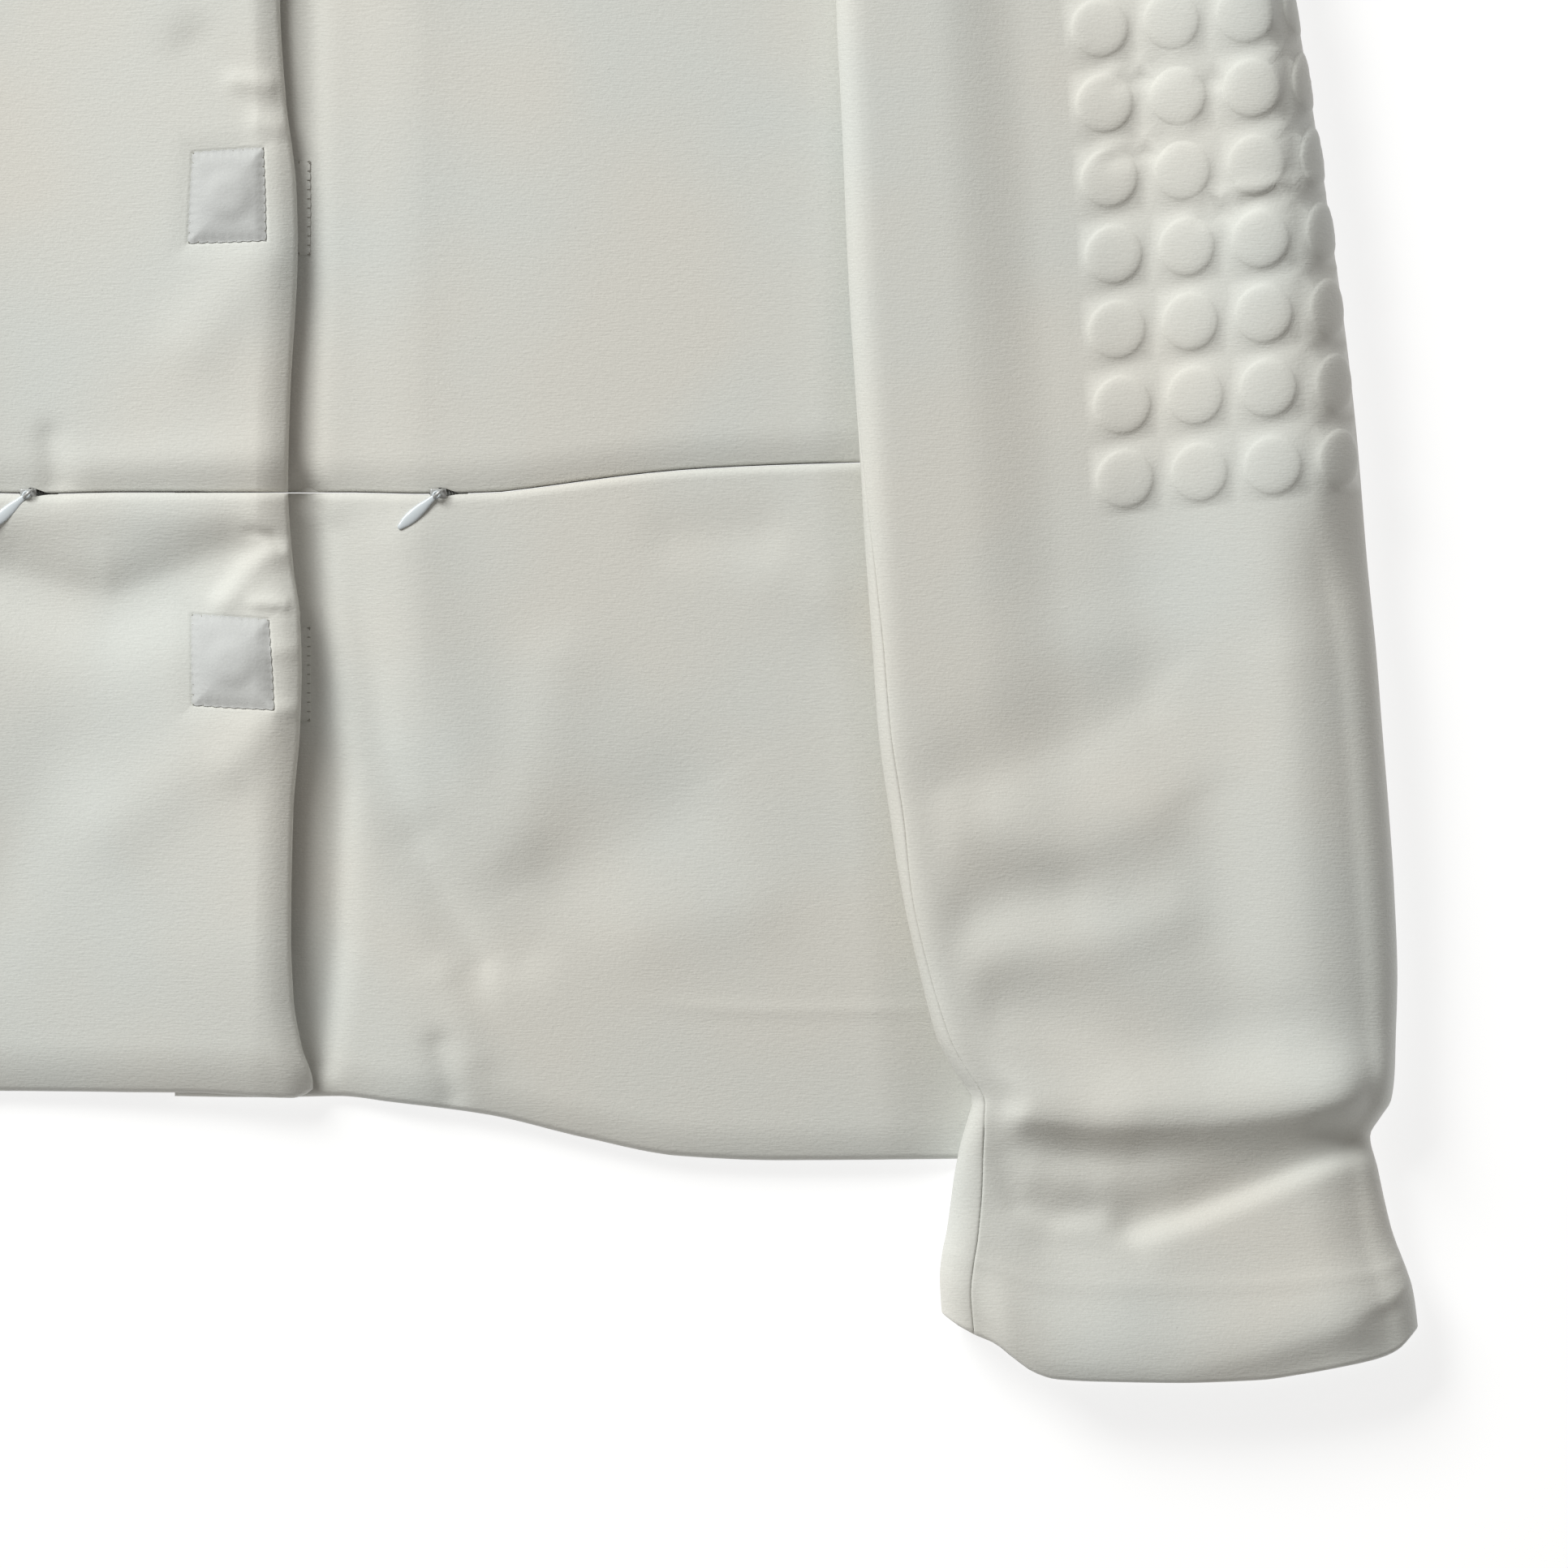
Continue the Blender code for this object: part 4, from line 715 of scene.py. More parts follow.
class Section:
    """One cross-section of the left sleeve's outer face, from its inner edge over the top and back under."""

    def __init__(self, v):
        self.v = v
        get = {name: float(follow(SLEEVE, name, v, "v")) for name in SLEEVE if name != "v"}
        get["x_out"] = float(follow(SLEEVE, "x_out", v + row_lean(v) * DOTS_TO_EDGE, "v"))
        self.above = v > ARMPIT_Y
        left = get["x_in"] + get["roll_in"]
        right = get["x_out"] - get["roll_out"]
        quarter = np.linspace(0.0, math.pi / 2.0, ROLL_POINTS)
        line = np.linspace(0.0, 1.0, TOP_POINTS)
        x_top = left + (right - left) * line
        places = (0.0, 0.18, 0.4, 0.54, 1.0)
        heights = (get["z_in"], get["z_in"], get["z_valley"], get["z_valley"], get["z_ridge"])
        z_top = 0.0 * line
        for a, b, low, high in zip(places, places[1:], heights, heights[1:]):
            inside = (line >= a) & (line <= b)
            z_top[inside] = low + (high - low) * ease((line[inside] - a) / (b - a))
        z_top = z_top - EDGE_SINK * float(1.0 - ease((v + 40.0) / 50.0)) * np.clip((line - 0.86) / 0.14, 0.0, 1.0) ** 2
        z_top = z_top + folds(SLEEVE_FOLDS, x_top, v + 0.0 * x_top) * ease(line / 0.1)
        z_under = 0.0 if self.above else float(lift(left, v))
        z_mid = SLEEVE_START if self.above else (z_under + z_top[0]) / 2.0
        outer_mid = z_top[-1] / 2.0
        facet = 1.0 + 0.45 * float(ease((v + 60.0) / 60.0))   # 1 is round, more is nearer to a straight slope
        low_end = float(np.interp(v, ARMHOLE["y"], ARMHOLE["back"])) + 0.4 if self.above else left
        x_under = np.linspace(right, low_end, UNDER_POINTS)
        xs = [get["x_in"] + get["roll_in"] * (1.0 - np.cos(quarter)), x_top[1:],
              (get["x_out"] - get["roll_out"] * (1.0 - np.sin(quarter) ** facet))[1:],
              (get["x_out"] - get["roll_out"] * (1.0 - np.cos(quarter)))[1:], x_under[1:]]
        zs = [z_mid + (z_top[0] - z_mid) * np.sin(quarter), z_top[1:],
              (outer_mid + (z_top[-1] - outer_mid) * np.cos(quarter) ** facet)[1:],
              (outer_mid - outer_mid * np.sin(quarter))[1:],
              (0.0 * x_under if self.above else lift(x_under, v))[1:]]
        if not self.above:
            xs.append((get["x_in"] + get["roll_in"] * (1.0 - np.sin(quarter)))[1:])
            zs.append((z_under + (z_mid - z_under) * (1.0 - np.cos(quarter)))[1:])
        self.x, self.z = softened(np.concatenate(xs), np.concatenate(zs), self.above)
        self.s = np.concatenate(([0.0], np.cumsum(np.hypot(np.diff(self.x), np.diff(self.z)))))
        self.length = float(self.s[-1])
        self.outermost = int(np.argmax(self.x))
        self.across = np.clip((self.x - get["x_in"]) / (get["x_out"] - get["x_in"]), 0.0, 1.0)
        top = slice(0, self.outermost + 1)
        self.dots = float(np.interp(follow(DOT_LINE, "x", v, "v"), self.x[top], self.s[top]))

    def seam(self):
        """Place of the front seam, or of the armhole above the armpit."""
        return 0.0 if self.above else float(follow(FRONT_SEAM, "along", self.v, "v"))

    def back_seam(self):
        if self.v > LAST_SEAMED:
            return self.length
        x = float(np.interp(self.v, BACK_SEAM["v"], BACK_SEAM["x"]))
        return float(np.interp(-x, -self.x[self.outermost:], self.s[self.outermost:]))

    def points(self, v, u):
        """Places at distances u round the sleeve from the second line of dots, on this section."""
        s = self.dots + u
        around = np.clip(s, 0.0, self.length) if self.above else s % self.length
        x = np.interp(around, self.s, self.x)
        z = np.interp(around, self.s, self.z)
        across = np.interp(around, self.s, self.across)
        past = around - self.dots
        near_dots = ease((past + 75.0) / 37.0) * ease((100.0 - past) / 35.0)
        near_end = 1.0 - ease((v - CUFF_LOW) / CUFF_LENGTH)
        y = v + row_lean(v) * past * near_dots + near_end * (follow(CUFF_EDGE, "y", across, "across") - CUFF_LOW)
        return np.stack((x, y, z), axis=-1)


SECTION_STEP = 1.5
section_cache = {}


def section_at(v):
    """The section at v, kept for the next time it is asked for."""
    key = round(v, 4)
    if key not in section_cache:
        section_cache[key] = Section(key)
    return section_cache[key]


def sleeve_points(v, u):
    """Places on the left sleeve for grids of v and u, blended between the two nearest sections."""
    flat_v = v.ravel()
    flat_u = u.ravel()
    made = np.zeros((len(flat_v), 3))
    start = np.where(flat_v > ARMPIT_Y + 0.001, ARMPIT_Y + 0.01, CUFF_LOW)
    step = np.floor((flat_v - start) / SECTION_STEP + 1e-6)
    for low in np.unique(start):
        for k in np.unique(step[start == low]):
            chosen = (start == low) & (step == k)
            v1 = low + k * SECTION_STEP
            v2 = min(v1 + SECTION_STEP, SHOULDER_TIP[1])
            if low < 0.0:
                v2 = min(v2, ARMPIT_Y)
            share = ((flat_v[chosen] - v1) / max(v2 - v1, 1e-6))[:, None]
            share = np.clip(share, 0.0, 1.0)
            first = section_at(v1).points(flat_v[chosen], flat_u[chosen])
            second = section_at(v2).points(flat_v[chosen], flat_u[chosen])
            made[chosen] = first * (1.0 - share) + second * share
    return made.reshape(*v.shape, 3)


print("sleeve length", SHOULDER_TIP[1] - CUFF_LOW, "mm")

# %% [markdown]
# ## Raised dots
# Round pads are heat-pressed into the sleeve in rows of four. To give each a crisp round edge without a very
# fine mesh, the grid itself bends: in every square cell the rings of the grid are pulled onto circles, and one
# ring lies exactly on the dot's edge. Displacing a regular grid would need ten times the faces.

# %% The dotted field
DOT_PITCH = 25.4
DOT_ROWS = 10
DOT_COLUMNS = 4
DOT_RISE = 1.9
TOP_DOT_Y = 160.0 + 3.0 * DOT_PITCH
CELL = 14                                                    # grid steps in one cell
RING_RADIUS = (0.0, 2.6, 5.0, 7.0, 8.6, 9.7, 10.35, 12.7)      # of the rings, from the centre of a cell
RING_HEIGHT = (1.0, 0.98, 0.92, 0.81, 0.64, 0.38, 0.03, 0.0)  # share of the rise
FIELD_V = TOP_DOT_Y - (DOT_ROWS - 0.5) * DOT_PITCH
FIELD_U = -1.5 * DOT_PITCH


def dotted_field():
    """Grids of v, u and rise over the field of dots."""
    half = CELL // 2
    rows = np.arange(DOT_ROWS * CELL + 1)
    columns = np.arange(DOT_COLUMNS * CELL + 1)
    v = np.zeros((len(rows), len(columns)))
    u = 0.0 * v
    rise = 0.0 * v
    chance = random.Random(7)
    varied = {(r, c): (chance.uniform(0.85, 1.12), chance.uniform(-0.35, 0.35), chance.uniform(-0.35, 0.35))
              for r in range(DOT_ROWS) for c in range(DOT_COLUMNS)}
    for i in rows:
        for j in columns:
            r = min(i // CELL, DOT_ROWS - 1)
            c = min(j // CELL, DOT_COLUMNS - 1)
            b = (i - r * CELL - half) / half
            a = (j - c * CELL - half) / half
            ring = round(max(abs(a), abs(b)) * half)
            size, du, dv = varied[r, c]
            if ring == half or ring == 0:
                local_u, local_v = a * DOT_PITCH / 2.0, b * DOT_PITCH / 2.0
            else:
                turn = math.pi / 4.0 * (b / abs(a) if abs(a) >= abs(b) else a / abs(b))
                near, far = math.cos(turn), math.sin(turn)
                local_u, local_v = (math.copysign(near, a), far) if abs(a) >= abs(b) else (far, math.copysign(near, b))
                local_u *= RING_RADIUS[ring]
                local_v *= RING_RADIUS[ring]
            if ring < half:
                local_u += du
                local_v += dv
            v[i, j] = FIELD_V + (r + 0.5) * DOT_PITCH + local_v
            u[i, j] = FIELD_U + (c + 0.5) * DOT_PITCH + local_u
            rise[i, j] = DOT_RISE * size * RING_HEIGHT[ring]
    return v, u, rise


field_v, field_u, field_rise = dotted_field()
print("field of dots", field_v.shape)

# %% [markdown]
# ## The sleeve's top piece
# It runs from the front seam over the top and round the outer edge to the back seam. The rows are close where
# the creases over the cuff are, and wider elsewhere.

# %% Grids of the top piece
INNER_COLUMNS = 30
OUTER_COLUMNS = 18
CREASED = (-264.0, -150.0)
CUFF_NOSE = 1.9
SLEEVE_SEAM = 0.05      # half the gap along the sleeve's seams
CUFF_TURNED = 33.0


def grid_normals(points):
    """Unit normals of a grid of points."""
    normals = np.cross(np.gradient(points, axis=1), np.gradient(points, axis=0))
    return normals / np.maximum(np.linalg.norm(normals, axis=-1, keepdims=True), 1e-9)


def sleeve_rows():
    """Rows below the dots, from the rounded cuff edge up."""
    cuff = CUFF_LOW + np.array(ROUNDED)
    return np.concatenate((cuff, np.arange(cuff[-1] + 2.0, CREASED[0], 2.2), np.arange(*CREASED, 1.6),
                           np.linspace(CREASED[1], FIELD_V, 62)))


def top_piece_grids():
    """Grids of v, u and rise over the whole top piece."""
    low = sleeve_rows()
    high_rows = np.concatenate((FIELD_V + DOT_ROWS * DOT_PITCH + np.arange(2.5, 92.0, 2.5), (344.0, 347.0, 349.5, 351.0)))
    rows = np.concatenate((low[:-1], field_v[:, 0], high_rows))
    first = len(low) - 1
    last = first + len(field_v)
    columns = INNER_COLUMNS + field_u.shape[1] + OUTER_COLUMNS
    v = np.repeat(rows[:, None], columns, axis=1)
    u = np.zeros_like(v)
    rise = np.zeros_like(v)
    near = np.array((0.0, 0.3, 0.8, 1.5))
    for k, row in enumerate(rows[:last]):
        section = section_at(row)
        start = section.seam() + SLEEVE_SEAM - section.dots
        end = section.back_seam() - SLEEVE_SEAM - section.dots
        inner = np.concatenate((start + near, np.linspace(start + 3.0, FIELD_U, INNER_COLUMNS - len(near) + 1)[:-1]))
        edge = FIELD_U + DOT_COLUMNS * DOT_PITCH
        outer = np.concatenate((np.linspace(edge, end - 3.0, OUTER_COLUMNS - len(near) + 1)[1:], (end - near)[::-1]))
        u[k] = np.concatenate((inner, field_u[0], outer))
    top = section_at(rows[last - 1])
    shares = (u[last - 1] + top.dots) / top.length
    for k in range(last, len(rows)):
        section = section_at(rows[k])
        start = SLEEVE_SEAM
        u[k] = start + (section.length - start) * shares / shares[-1] - section.dots
    field = (slice(first, last), slice(INNER_COLUMNS, INNER_COLUMNS + field_u.shape[1]))
    v[field] = field_v
    u[field] = field_u
    rise[field] = field_rise
    return v, u, rise


def sleeve_shell(v, u, rise):
    """Outer and inner points of a sleeve piece."""
    places = sleeve_points(v, u)
    normals = grid_normals(places)
    from_cuff = v - CUFF_LOW
    turned = 1.0 - ease((from_cuff - CUFF_TURNED) / 3.0)
    fall = nose(from_cuff, CUFF_NOSE)
    lip = nose(u - u[:, :1], 0.8) + nose(u[:, -1:] - u, 0.8)
    facing = 0.3 * np.exp(-(((from_cuff - CUFF_TURNED) / 2.2) ** 2))
    raised = rise * ease(normals[..., 2] / 0.4) + facing * (normals[..., 2] > 0.3)
    lip = np.where(normals[..., 2] < -0.9, 0.0, lip)
    wall = CLOTH + (2.0 * CUFF_NOSE - CLOTH) * turned
    outer = places + normals * (raised - fall - lip * 0.45)[..., None]
    inner = places - normals * (wall - fall)[..., None]
    outer[..., 2] = np.maximum(outer[..., 2], 0.0)
    return outer, inner


top_faces = sleeve_shell(*top_piece_grids())
print("top piece", top_faces[0].shape, "cut area", round(cut_area(top_faces[0]), 4), "m2")

# %% [markdown]
# ## The sleeve's under piece
# A narrower piece closes the tube from the front seam round the inner edge and under to the back seam. Its
# inner strip shows beside the peplum. Above the armpit only its flat underside goes on, up to the armhole.

# %% Build the sleeves
def under_piece_grids(rows, columns):
    v = np.repeat(rows[:, None], columns, axis=1)
    u = np.zeros_like(v)
    near = np.array((0.0, 0.3, 0.8, 1.5))
    for k, row in enumerate(rows):
        section = section_at(row)
        start = section.back_seam() + SLEEVE_SEAM - section.dots
        if section.above:
            end = section.length - 0.2 - section.dots
            u[k] = np.linspace(start, end, columns)
        else:
            end = section.length + section.seam() - SLEEVE_SEAM - section.dots
            middle = np.linspace(start + 3.0, end - 3.0, columns - 2 * len(near))
            u[k] = np.concatenate((start + near, middle, (end - near)[::-1]))
    return v, u, 0.0 * v


below = np.concatenate((sleeve_rows()[::2], np.arange(0.0, 189.0, 4.0)))
below = np.concatenate((CUFF_LOW + np.array(ROUNDED), below[below > CUFF_LOW + 8.0]))
under_faces = [sleeve_shell(*under_piece_grids(below, 56)),
               sleeve_shell(*under_piece_grids(np.arange(190.2, 268.0, 3.0), 16))]
print("under piece cut area", round(sum(cut_area(outer) for outer, inner in under_faces), 4), "m2")

for side in ("left", "right"):
    for kind, shells in (("top", [top_faces]), ("under", under_faces)):
        node = f"sleeve_{side}_{kind}"
        if side == "right":
            shells = [tuple(mirrored(face) for face in shell) for shell in shells]
        piece = add_piece("knit_" + node, shell_mesh(node, shells), ivory_knit)
        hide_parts(node)

# %% [markdown]
# ## Collar
# A plain stand collar of double cloth. Laid flat, its front halves lie over its back half, and the right end
# laps the left. One band runs round the neck, read along smooth lines through a few stations.

# %% Build the collar
COLLAR_CLOTH = 2.4
COLLAR = table(
    "along x_low y_low x_high y_high z",
    (0, -21, 330.6, -20, 367, 15.0), (1, 0, 326.3, 0, 366, 15.0), (2, 25, 330.5, 22, 369, 14.6),
    (3, 50, 348.2, 45, 383, 12.8), (4, 60, 363.6, 53, 396, 12), (5, 70, 379, 61, 413, 11.6),
    (6, 79.4, 403.4, 70, 434, 10.6), (7, 82.5, 406, 73.5, 438.5, 6.6), (8, 79, 404, 70, 440, 0),
    (9, 60, 393.6, 54, 440.8, 0), (10, 40, 387.8, 36, 441, 0), (11, 20, 385, 18, 441, 0), (12, 0, 383, 0, 441, 0))


def collar_half(right):
    """Rows of places up the collar, from the front end to the middle of the back."""
    along = np.linspace(0.0, 12.0, 97)
    low = np.stack([follow(COLLAR, key, along, "along") for key in ("x_low", "y_low")], axis=-1)
    high = np.stack([follow(COLLAR, key, along, "along") for key in ("x_high", "y_high")], axis=-1)
    z = follow(COLLAR, "z", along, "along")
    z = z - (0.0 if right else 1.0) * 3.0 * (1.0 - ease((along - 2.0) / 2.0))
    up = stations(38.0, 2.5, PLAIN, ROUNDED)
    flat = low[None] + (high - low)[None] * up[:, None, None]
    return np.concatenate((flat, np.repeat(z[None, :, None], len(up), axis=0)), axis=-1), up


left_half, up = collar_half(False)
right_half = collar_half(True)[0] * (-1.0, 1.0, 1.0)
band = np.concatenate((right_half, left_half[:, -2::-1]), axis=1)[:, ::-1]
normals = grid_normals(band)
fall = nose((1.0 - up) * 38.0, COLLAR_CLOTH / 2.0)[:, None, None]
collar_faces = (band - normals * fall, band - normals * (COLLAR_CLOTH - fall))
piece = add_piece("knit_collar", shell_mesh("collar", [collar_faces]), ivory_knit)
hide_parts("collar")
print("collar cut area", round(cut_area(band), 4), "m2")

# %% [markdown]
# ## Snap patches and their stitches
# Each patch is puffed like a small pillow, because the snap under it pushes it up and the stitches hold it
# down. Between two stitches its edge bulges out. The thread itself is a row of short bars that cross the edge,
# joined in one mesh. Its dark grey is painted shade of the dents where the stitches bite into the cloth.

# %% Build the patches
def thread_material():
    made = bpy.data.materials.new("thread_with_painted_shade")
    made.use_nodes = True
    tree = made.node_tree
    shader = tree.nodes["Principled BSDF"]
    shader.inputs["Roughness"].default_value = 0.7
    twist = add_node(tree, "ShaderNodeTexNoise", Scale=1500.0, Detail=2.0)
    # The thread is real, but its dark grey-brown is painted shade of the dents where the stitches bite into the cloth.
    colour = add_node(tree, "ShaderNodeMix", data_type="RGBA")
    colour.inputs["A"].default_value = (0.30, 0.29, 0.26, 1.0)
    colour.inputs["B"].default_value = (0.44, 0.43, 0.39, 1.0)
    tree.links.new(twist.outputs["Fac"], colour.inputs["Factor"])
    tree.links.new(colour.outputs["Result"], shader.inputs["Base Color"])
    return made


thread_with_painted_shade = thread_material()
PATCH_EDGE = 0.35


def patch_faces(corners, height, puff, snap):
    """Outer and inner points of a patch, on the height of the cloth that carries it."""
    width = math.dist(corners[0], corners[1])
    length = math.dist(corners[1], corners[2])
    near = (0.0, 0.15, 0.45, 0.9, 1.5)
    a = stations(width, 0.8, near, near)
    b = stations(length, 0.8, near, near)
    from_side = np.minimum(a, 1.0 - a)[None, :] * width + 0.0 * b[:, None]
    from_end = np.minimum(b, 1.0 - b)[:, None] * length + 0.0 * a[None, :]
    edge = np.minimum(from_side, from_end)
    along = np.where(from_side < from_end, (b * length)[:, None] + 0.0 * from_side, (a * width)[None, :] + 0.0 * from_side)
    bulge = np.abs(np.sin(math.pi * along / STITCH_PITCH)) ** 0.7
    places = corner_blend(corners, a[None, :] + 0.0 * edge, b[:, None] + 0.0 * edge)
    middle = corner_blend(corners, 0.5, 0.5)
    away = places - middle
    away = away / np.maximum(np.linalg.norm(away, axis=-1, keepdims=True), 1e-6)
    places = places + away * (0.45 * bulge * (1.0 - ease(edge / 1.2)))[..., None]
    base = height(places[..., 0], places[..., 1]) + 0.1
    pillow = puff * (1.0 - np.exp(-edge / 3.4)) * (0.75 + 0.25 * bulge * (1.0 - ease(edge / 4.0)) + 0.25 * ease(edge / 4.0))
    from_snap = np.hypot(places[..., 0] - middle[0], places[..., 1] - middle[1])
    pillow = pillow + snap * np.exp(-((from_snap / 7.5) ** 4)) + 0.0 * edge
    outer = np.concatenate((places, (base + PATCH_EDGE + pillow)[..., None]), axis=-1)
    inner = np.concatenate((places, base[..., None]), axis=-1)
    return outer, inner


def stitch_bars(corners, height, reach, radius, rise):
    """Short bars of thread that cross the patch's edge, as two-ended cones of six sides."""
    bars = []
    middle = corner_blend(corners, 0.5, 0.5)
    for k in range(4):
        start = np.array(corners[k])
        end = np.array(corners[(k + 1) % 4])
        count = int(math.dist(start, end) / STITCH_PITCH)
        for step in range(count + 1):
            at = start + (end - start) * step / count
            inward = (end - start)[::-1] * (-1.0, 1.0)
            inward = inward / np.linalg.norm(inward)
            if (middle - at) @ inward < 0.0:
                inward = -inward
            first = at - inward * reach * 0.5
            last = at + inward * reach
            bars.append((np.array((*first, float(height(first[0], first[1])) + rise * 0.3)),
                         np.array((*last, float(height(last[0], last[1])) + rise))))
    bm = bmesh.new()
    for first, last in bars:
        along = Vector(last - first)
        turn = along.to_track_quat("Z", "Y").to_matrix().to_4x4()
        turn.translation = Vector(in_frame((first + last) / 2.0))
        ball = bmesh.ops.create_uvsphere(bm, u_segments=6, v_segments=4, radius=1.0)
        for vert in ball["verts"]:
            local = Vector((vert.co.x * radius, vert.co.y * radius, vert.co.z * along.length / 2.0)) * MM
            vert.co = turn @ local
    mesh = bpy.data.meshes.new("stitches")
    bm.to_mesh(mesh)
    bm.free()
    mesh.shade_smooth()
    return mesh


def right_front_height(x, y):
    part = "bodice" if float(np.mean(y)) > 0.0 else "peplum"
    return front_top(-np.asarray(x, dtype=float), np.asarray(y, dtype=float), True, part)


def left_front_height(x, y):
    part = "bodice" if float(np.mean(y)) > 0.0 else "peplum"
    return front_top(np.asarray(x, dtype=float), np.asarray(y, dtype=float), False, part)


for place, corners in SNAP_PATCHES.items():
    piece = add_piece(f"snap_patch_knit_{place}", shell_mesh("snap_patch", [patch_faces(corners, right_front_height, 2.2, 1.3)]),
                      patch_knit)
    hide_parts(f"snap_patch_{place}")
    add_piece(f"snap_patch_stitches_{place}", stitch_bars(corners, right_front_height, 0.4, 0.2, 0.7), thread_with_painted_shade)
    y = (corners[0][1] + corners[2][1]) / 2.0
    half_width, half_length = PATCH_SIZE[0] / 2.0, PATCH_SIZE[1] / 2.0
    low, high = y - half_length - 4.0, y + half_length - 4.0
    under = ((UNDER_PATCH_X - half_width, low), (UNDER_PATCH_X + half_width, low),
             (UNDER_PATCH_X + half_width, high), (UNDER_PATCH_X - half_width, high))
    piece = add_piece(f"under_patch_knit_{place}", shell_mesh("under_patch", [patch_faces(under, left_front_height, 0.15, 0.0)]),
                      ivory_knit)
    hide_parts(f"under_patch_{place}")
    add_piece(f"under_patch_stitches_{place}", stitch_bars(under, left_front_height, 0.8, 0.25, 0.7), thread_with_painted_shade)
print("patches built")

# %% [markdown]
# ## Concealed zips
# A concealed zip lies inside the waist seam, so only its slider and its leaf-shaped tab show, and a few teeth
# where the seam gapes beside the slider. The tape under those teeth is a real tape, coloured dark grey as
# painted shade inside the gaping seam. The tab is enamelled metal: a flat leaf with a soft ridge, thinner at
# its neck. It is lofted from rings along its length, so its thickness can change as it does on the real one.

# %% Enamel, metal and tape
def smooth_finish(name, colour, roughness, metallic, coat):
    """A hard finish with slight wear in its roughness."""
    made = bpy.data.materials.new(name)
    made.use_nodes = True
    tree = made.node_tree
    shader = tree.nodes["Principled BSDF"]
    shader.inputs["Metallic"].default_value = metallic
    shader.inputs["Coat Weight"].default_value = coat
    wear = add_node(tree, "ShaderNodeTexNoise", Scale=600.0, Detail=3.0)
    spread = add_node(tree, "ShaderNodeMapRange")
    spread.inputs["To Min"].default_value = roughness - 0.08
    spread.inputs["To Max"].default_value = roughness + 0.1
    tree.links.new(wear.outputs["Fac"], spread.inputs["Value"])
    tree.links.new(spread.outputs["Result"], shader.inputs["Roughness"])
    tint = add_node(tree, "ShaderNodeMix", data_type="RGBA")
    tint.inputs["A"].default_value = (*colour, 1.0)
    tint.inputs["B"].default_value = (*(0.9 * part for part in colour), 1.0)
    tree.links.new(wear.outputs["Fac"], tint.inputs["Factor"])
    tree.links.new(tint.outputs["Result"], shader.inputs["Base Color"])
    return made


zip_enamel = smooth_finish("zip_enamel", (0.72, 0.78, 0.83), 0.35, 0.0, 0.3)
zip_bridge = smooth_finish("zip_bridge", (0.55, 0.56, 0.56), 0.4, 0.5, 0.0)
# The tape is real, but its dark grey is painted shade inside the gaping waist seam.
zip_tape_painted_shade = knit("zip_tape_painted_shade", (0.30, 0.30, 0.29), (0.27, 0.27, 0.25), rib=0.001)
TAB_DIRECTION = Vector((-0.75, -0.66, 0.0)).normalized()
TAPE_TOP = 6.0
BRIDGE_RADIUS = 1.9
BRIDGE_WIRE = 0.55
TAB_STATIONS = table(
    "along half thick",
    (1.6, 0.75, 0.9), (2.6, 1.0, 0.9), (4.5, 1.25, 1.0), (8, 1.85, 1.2), (11.5, 2.05, 1.25), (14.5, 1.75, 1.1),
    (16.6, 1.15, 0.95), (17.6, 0.8, 0.85), (18.0, 0.4, 0.5))


def ring_tube(path, radius, sides=10):
    """A closed tube along a list of points, as a bevelled curve made into a mesh."""
    curve = bpy.data.curves.new("wire", "CURVE")
    curve.dimensions = "3D"
    curve.bevel_depth = radius * MM
    curve.bevel_resolution = sides // 4
    curve.use_fill_caps = True
    spline = curve.splines.new("POLY")
    spline.points.add(len(path) - 1)
    for point, place in zip(spline.points, path):
        point.co = (*place, 1.0)
    holder = bpy.data.objects.new("wire", curve)
    bpy.context.scene.collection.objects.link(holder)
    mesh = bpy.data.meshes.new_from_object(holder.evaluated_get(bpy.context.evaluated_depsgraph_get()))
    bpy.data.objects.remove(holder)
    bm = bmesh.new()
    bm.from_mesh(mesh)
    bmesh.ops.remove_doubles(bm, verts=bm.verts, dist=1e-7)
    bmesh.ops.recalc_face_normals(bm, faces=bm.faces)
    bm.to_mesh(mesh)
    bm.free()
    mesh.materials.clear()
    mesh.shade_smooth()
    return mesh


def leaf_mesh(origin):
    """The tab: rings with a soft ridge, lofted along its length, with its two ends closed."""
    across = Vector((-TAB_DIRECTION.y, TAB_DIRECTION.x, 0.0))
    rings = []
    turns = np.linspace(0.0, 2.0 * math.pi, 17)[:-1]
    for along in np.linspace(TAB_STATIONS["along"][0], TAB_STATIONS["along"][-1], 34):
        half = float(follow(TAB_STATIONS, "half", along, "along"))
        thick = float(follow(TAB_STATIONS, "thick", along, "along"))
        ring = []
        for turn in turns:
            side = math.copysign(abs(math.cos(turn)) ** 0.9, math.cos(turn)) * half
            up = math.copysign(abs(math.sin(turn)) ** 1.1, math.sin(turn)) * thick / 2.0
            ring.append(origin + (TAB_DIRECTION * along + across * side) * MM + Vector((0.0, 0.0, up * MM)))
        rings.append(ring)
    bm = bmesh.new()
    made = [[bm.verts.new(place) for place in ring] for ring in rings]
    for low, high in zip(made, made[1:]):
        for k in range(len(turns)):
            bm.faces.new((low[k], low[(k + 1) % len(turns)], high[(k + 1) % len(turns)], high[k]))
    bm.faces.new(reversed(made[0]))
    bm.faces.new(made[-1])
    bmesh.ops.recalc_face_normals(bm, faces=bm.faces)
    mesh = bpy.data.meshes.new("leaf")
    bm.to_mesh(mesh)
    bm.free()
    mesh.shade_smooth()
    return mesh


def join_meshes(name, meshes):
    """One mesh from several."""
    bm = bmesh.new()
    for mesh in meshes:
        bm.from_mesh(mesh)
    joined = bpy.data.meshes.new(name)
    bm.to_mesh(joined)
    bm.free()
    joined.shade_smooth()
    return joined


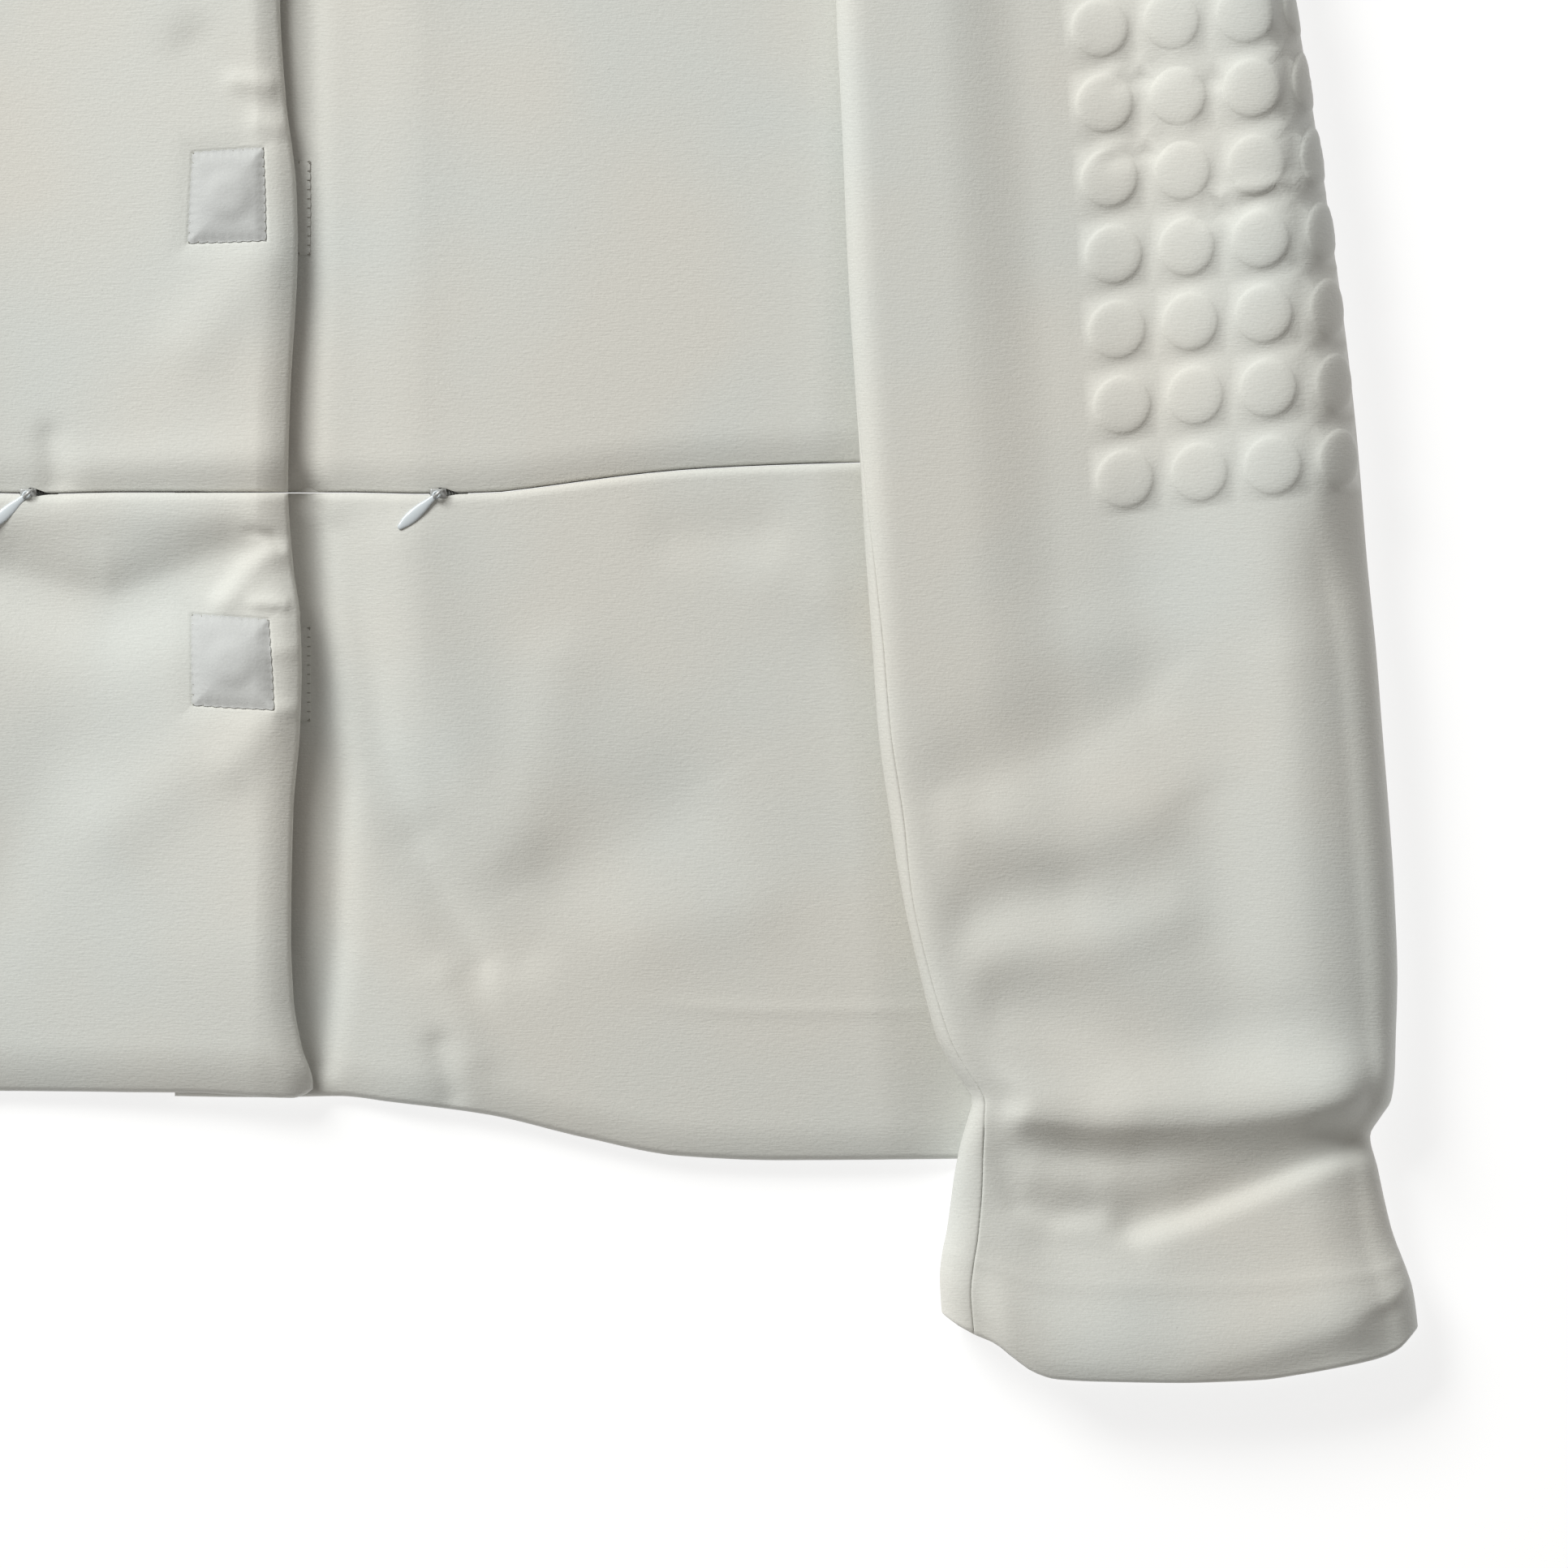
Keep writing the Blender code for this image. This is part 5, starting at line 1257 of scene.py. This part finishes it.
# %% Build the zips
hinges = {joint["child"]: Vector(joint["pos_m"]) for joint in frame["record"]["behaviour"]["joints"]}
for side, sign in (("left", 1.0), ("right", -1.0)):
    hinge = hinges[f"pull_{side}"]
    eye = [hinge + TAB_DIRECTION * ((0.75 + 1.15 * math.cos(turn)) * MM)
           + Vector((-TAB_DIRECTION.y, TAB_DIRECTION.x, 0.0)) * (1.05 * math.sin(turn) * MM)
           for turn in np.linspace(0.5, 2.0 * math.pi - 0.5, 15)]
    tab = add_piece(f"zip_tab_{side}", join_meshes("zip_tab", [leaf_mesh(hinge), ring_tube(eye, 0.38)]), zip_enamel,
                    body=f"pull_{side}")
    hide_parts(f"zip_pull_{side}")
    low, high = (Vector(corner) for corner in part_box(f"zip_slider_{side}"))
    plate_top = hinge.z / MM - 1.2
    bm = bmesh.new()
    bmesh.ops.create_cube(bm, size=MM)
    bmesh.ops.scale(bm, vec=(5.4, 3.2, 1.2), verts=bm.verts)
    bmesh.ops.bevel(bm, geom=bm.edges[:], offset=0.45 * MM, segments=3, affect="EDGES", profile=0.6)
    bmesh.ops.translate(bm, vec=(hinge.x, hinge.y, (plate_top - 0.6) * MM), verts=bm.verts)
    plate = bpy.data.meshes.new("plate")
    bm.to_mesh(plate)
    bm.free()
    arc = [hinge + TAB_DIRECTION * (-BRIDGE_RADIUS * math.cos(turn) * MM) + Vector((0, 0, BRIDGE_RADIUS * math.sin(turn) * MM))
           for turn in np.linspace(0.0, math.pi, 15)]
    feet = [arc[0] - Vector((0, 0, 1.5 * MM)), arc[-1] - Vector((0, 0, 1.5 * MM))]
    bridge = ring_tube([feet[0]] + arc + [feet[1]], BRIDGE_WIRE)
    slider = add_piece(f"zip_slider_body_{side}", join_meshes("zip_slider", [plate, bridge]), zip_bridge)
    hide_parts(f"zip_slider_{side}")
    seam_y = float(follow(WAIST, "y", SLIDER_X, "out"))
    tape_x = sign * SLIDER_X + 3.5
    # A strip of zip tape under the gaping seam, dark grey as painted shade of the opening.
    bm = bmesh.new()
    bmesh.ops.create_cube(bm, size=MM)
    bmesh.ops.scale(bm, vec=(13.0, 5.0, 0.6), verts=bm.verts)
    bmesh.ops.translate(bm, vec=in_frame((tape_x, seam_y, TAPE_TOP - 0.3)), verts=bm.verts)
    tape = bpy.data.meshes.new("zip_tape_painted_shade")
    bm.to_mesh(tape)
    bm.free()
    add_piece(f"zip_tape_painted_shade_{side}", tape, zip_tape_painted_shade)
    coil = [(tape_x - 6.0 + 12.0 * k / 96.0, seam_y + 0.3 + 0.75 * math.cos(k * math.pi / 4.0),
             TAPE_TOP + 0.25 + 0.3 * math.sin(k * math.pi / 4.0)) for k in range(97)]
    add_piece(f"zip_coil_{side}", ring_tube([in_frame(place) for place in coil], 0.17, 8), zip_bridge)
    print("zip", side, "hinge", [round(c, 4) for c in hinge])

# %% [markdown]
# ## Table, camera and light
# The jacket lies on a white table and is seen from straight above through a long lens, which keeps its
# proportions like a pattern's. A broad soft light comes from the top of the picture and a little from its
# left, and a warm weak one fills the other side, as window light and a room do.

# %% Stage
VIEW_CENTRE = (0.1867, -0.1679)
VIEW_SIDE = 0.5313
CAMERA_HEIGHT = 6.0
MIDDLE_HEIGHT = 0.012

bpy.ops.mesh.primitive_plane_add(size=6.0, location=(0.0, 0.0, -0.0004))
table_top = bpy.context.object
table_top.name = "table"
white_table = bpy.data.materials.new("white_table")
white_table.use_nodes = True
shader = white_table.node_tree.nodes["Principled BSDF"]
shader.inputs["Base Color"].default_value = (0.32, 0.32, 0.32, 1.0)
shader.inputs["Roughness"].default_value = 0.9
shader.inputs["Emission Color"].default_value = (1.0, 1.0, 1.0, 1.0)
shader.inputs["Emission Strength"].default_value = 0.78
table_top.data.materials.append(white_table)

lens = bpy.data.cameras.new("camera")
lens.sensor_width = 36.0
lens.lens = 36.0 * (CAMERA_HEIGHT - MIDDLE_HEIGHT) / VIEW_SIDE
camera = bpy.data.objects.new("camera", lens)
camera.location = (*VIEW_CENTRE, CAMERA_HEIGHT)
bpy.context.scene.collection.objects.link(camera)
bpy.context.scene.camera = camera


def area_light(name, place, aim, size, power, colour):
    """A square soft light that faces a point."""
    data = bpy.data.lights.new(name, "AREA")
    data.size = size
    data.energy = power
    data.color = colour
    lamp = bpy.data.objects.new(name, data)
    lamp.location = place
    lamp.rotation_euler = (Vector(aim) - Vector(place)).to_track_quat("-Z", "Y").to_euler()
    bpy.context.scene.collection.objects.link(lamp)
    return lamp


area_light("window", (-1.95, 2.15, 2.3), (0.15, -0.15, 0.0), 1.7, 146.0, (0.985, 1.0, 0.975))
world = bpy.data.worlds.new("studio")
world.use_nodes = True
world.node_tree.nodes["Background"].inputs["Color"].default_value = (1.0, 0.95, 0.88, 1.0)
world.node_tree.nodes["Background"].inputs["Strength"].default_value = 0.24
bpy.context.scene.world = world
bpy.context.scene.view_settings.view_transform = "Standard"
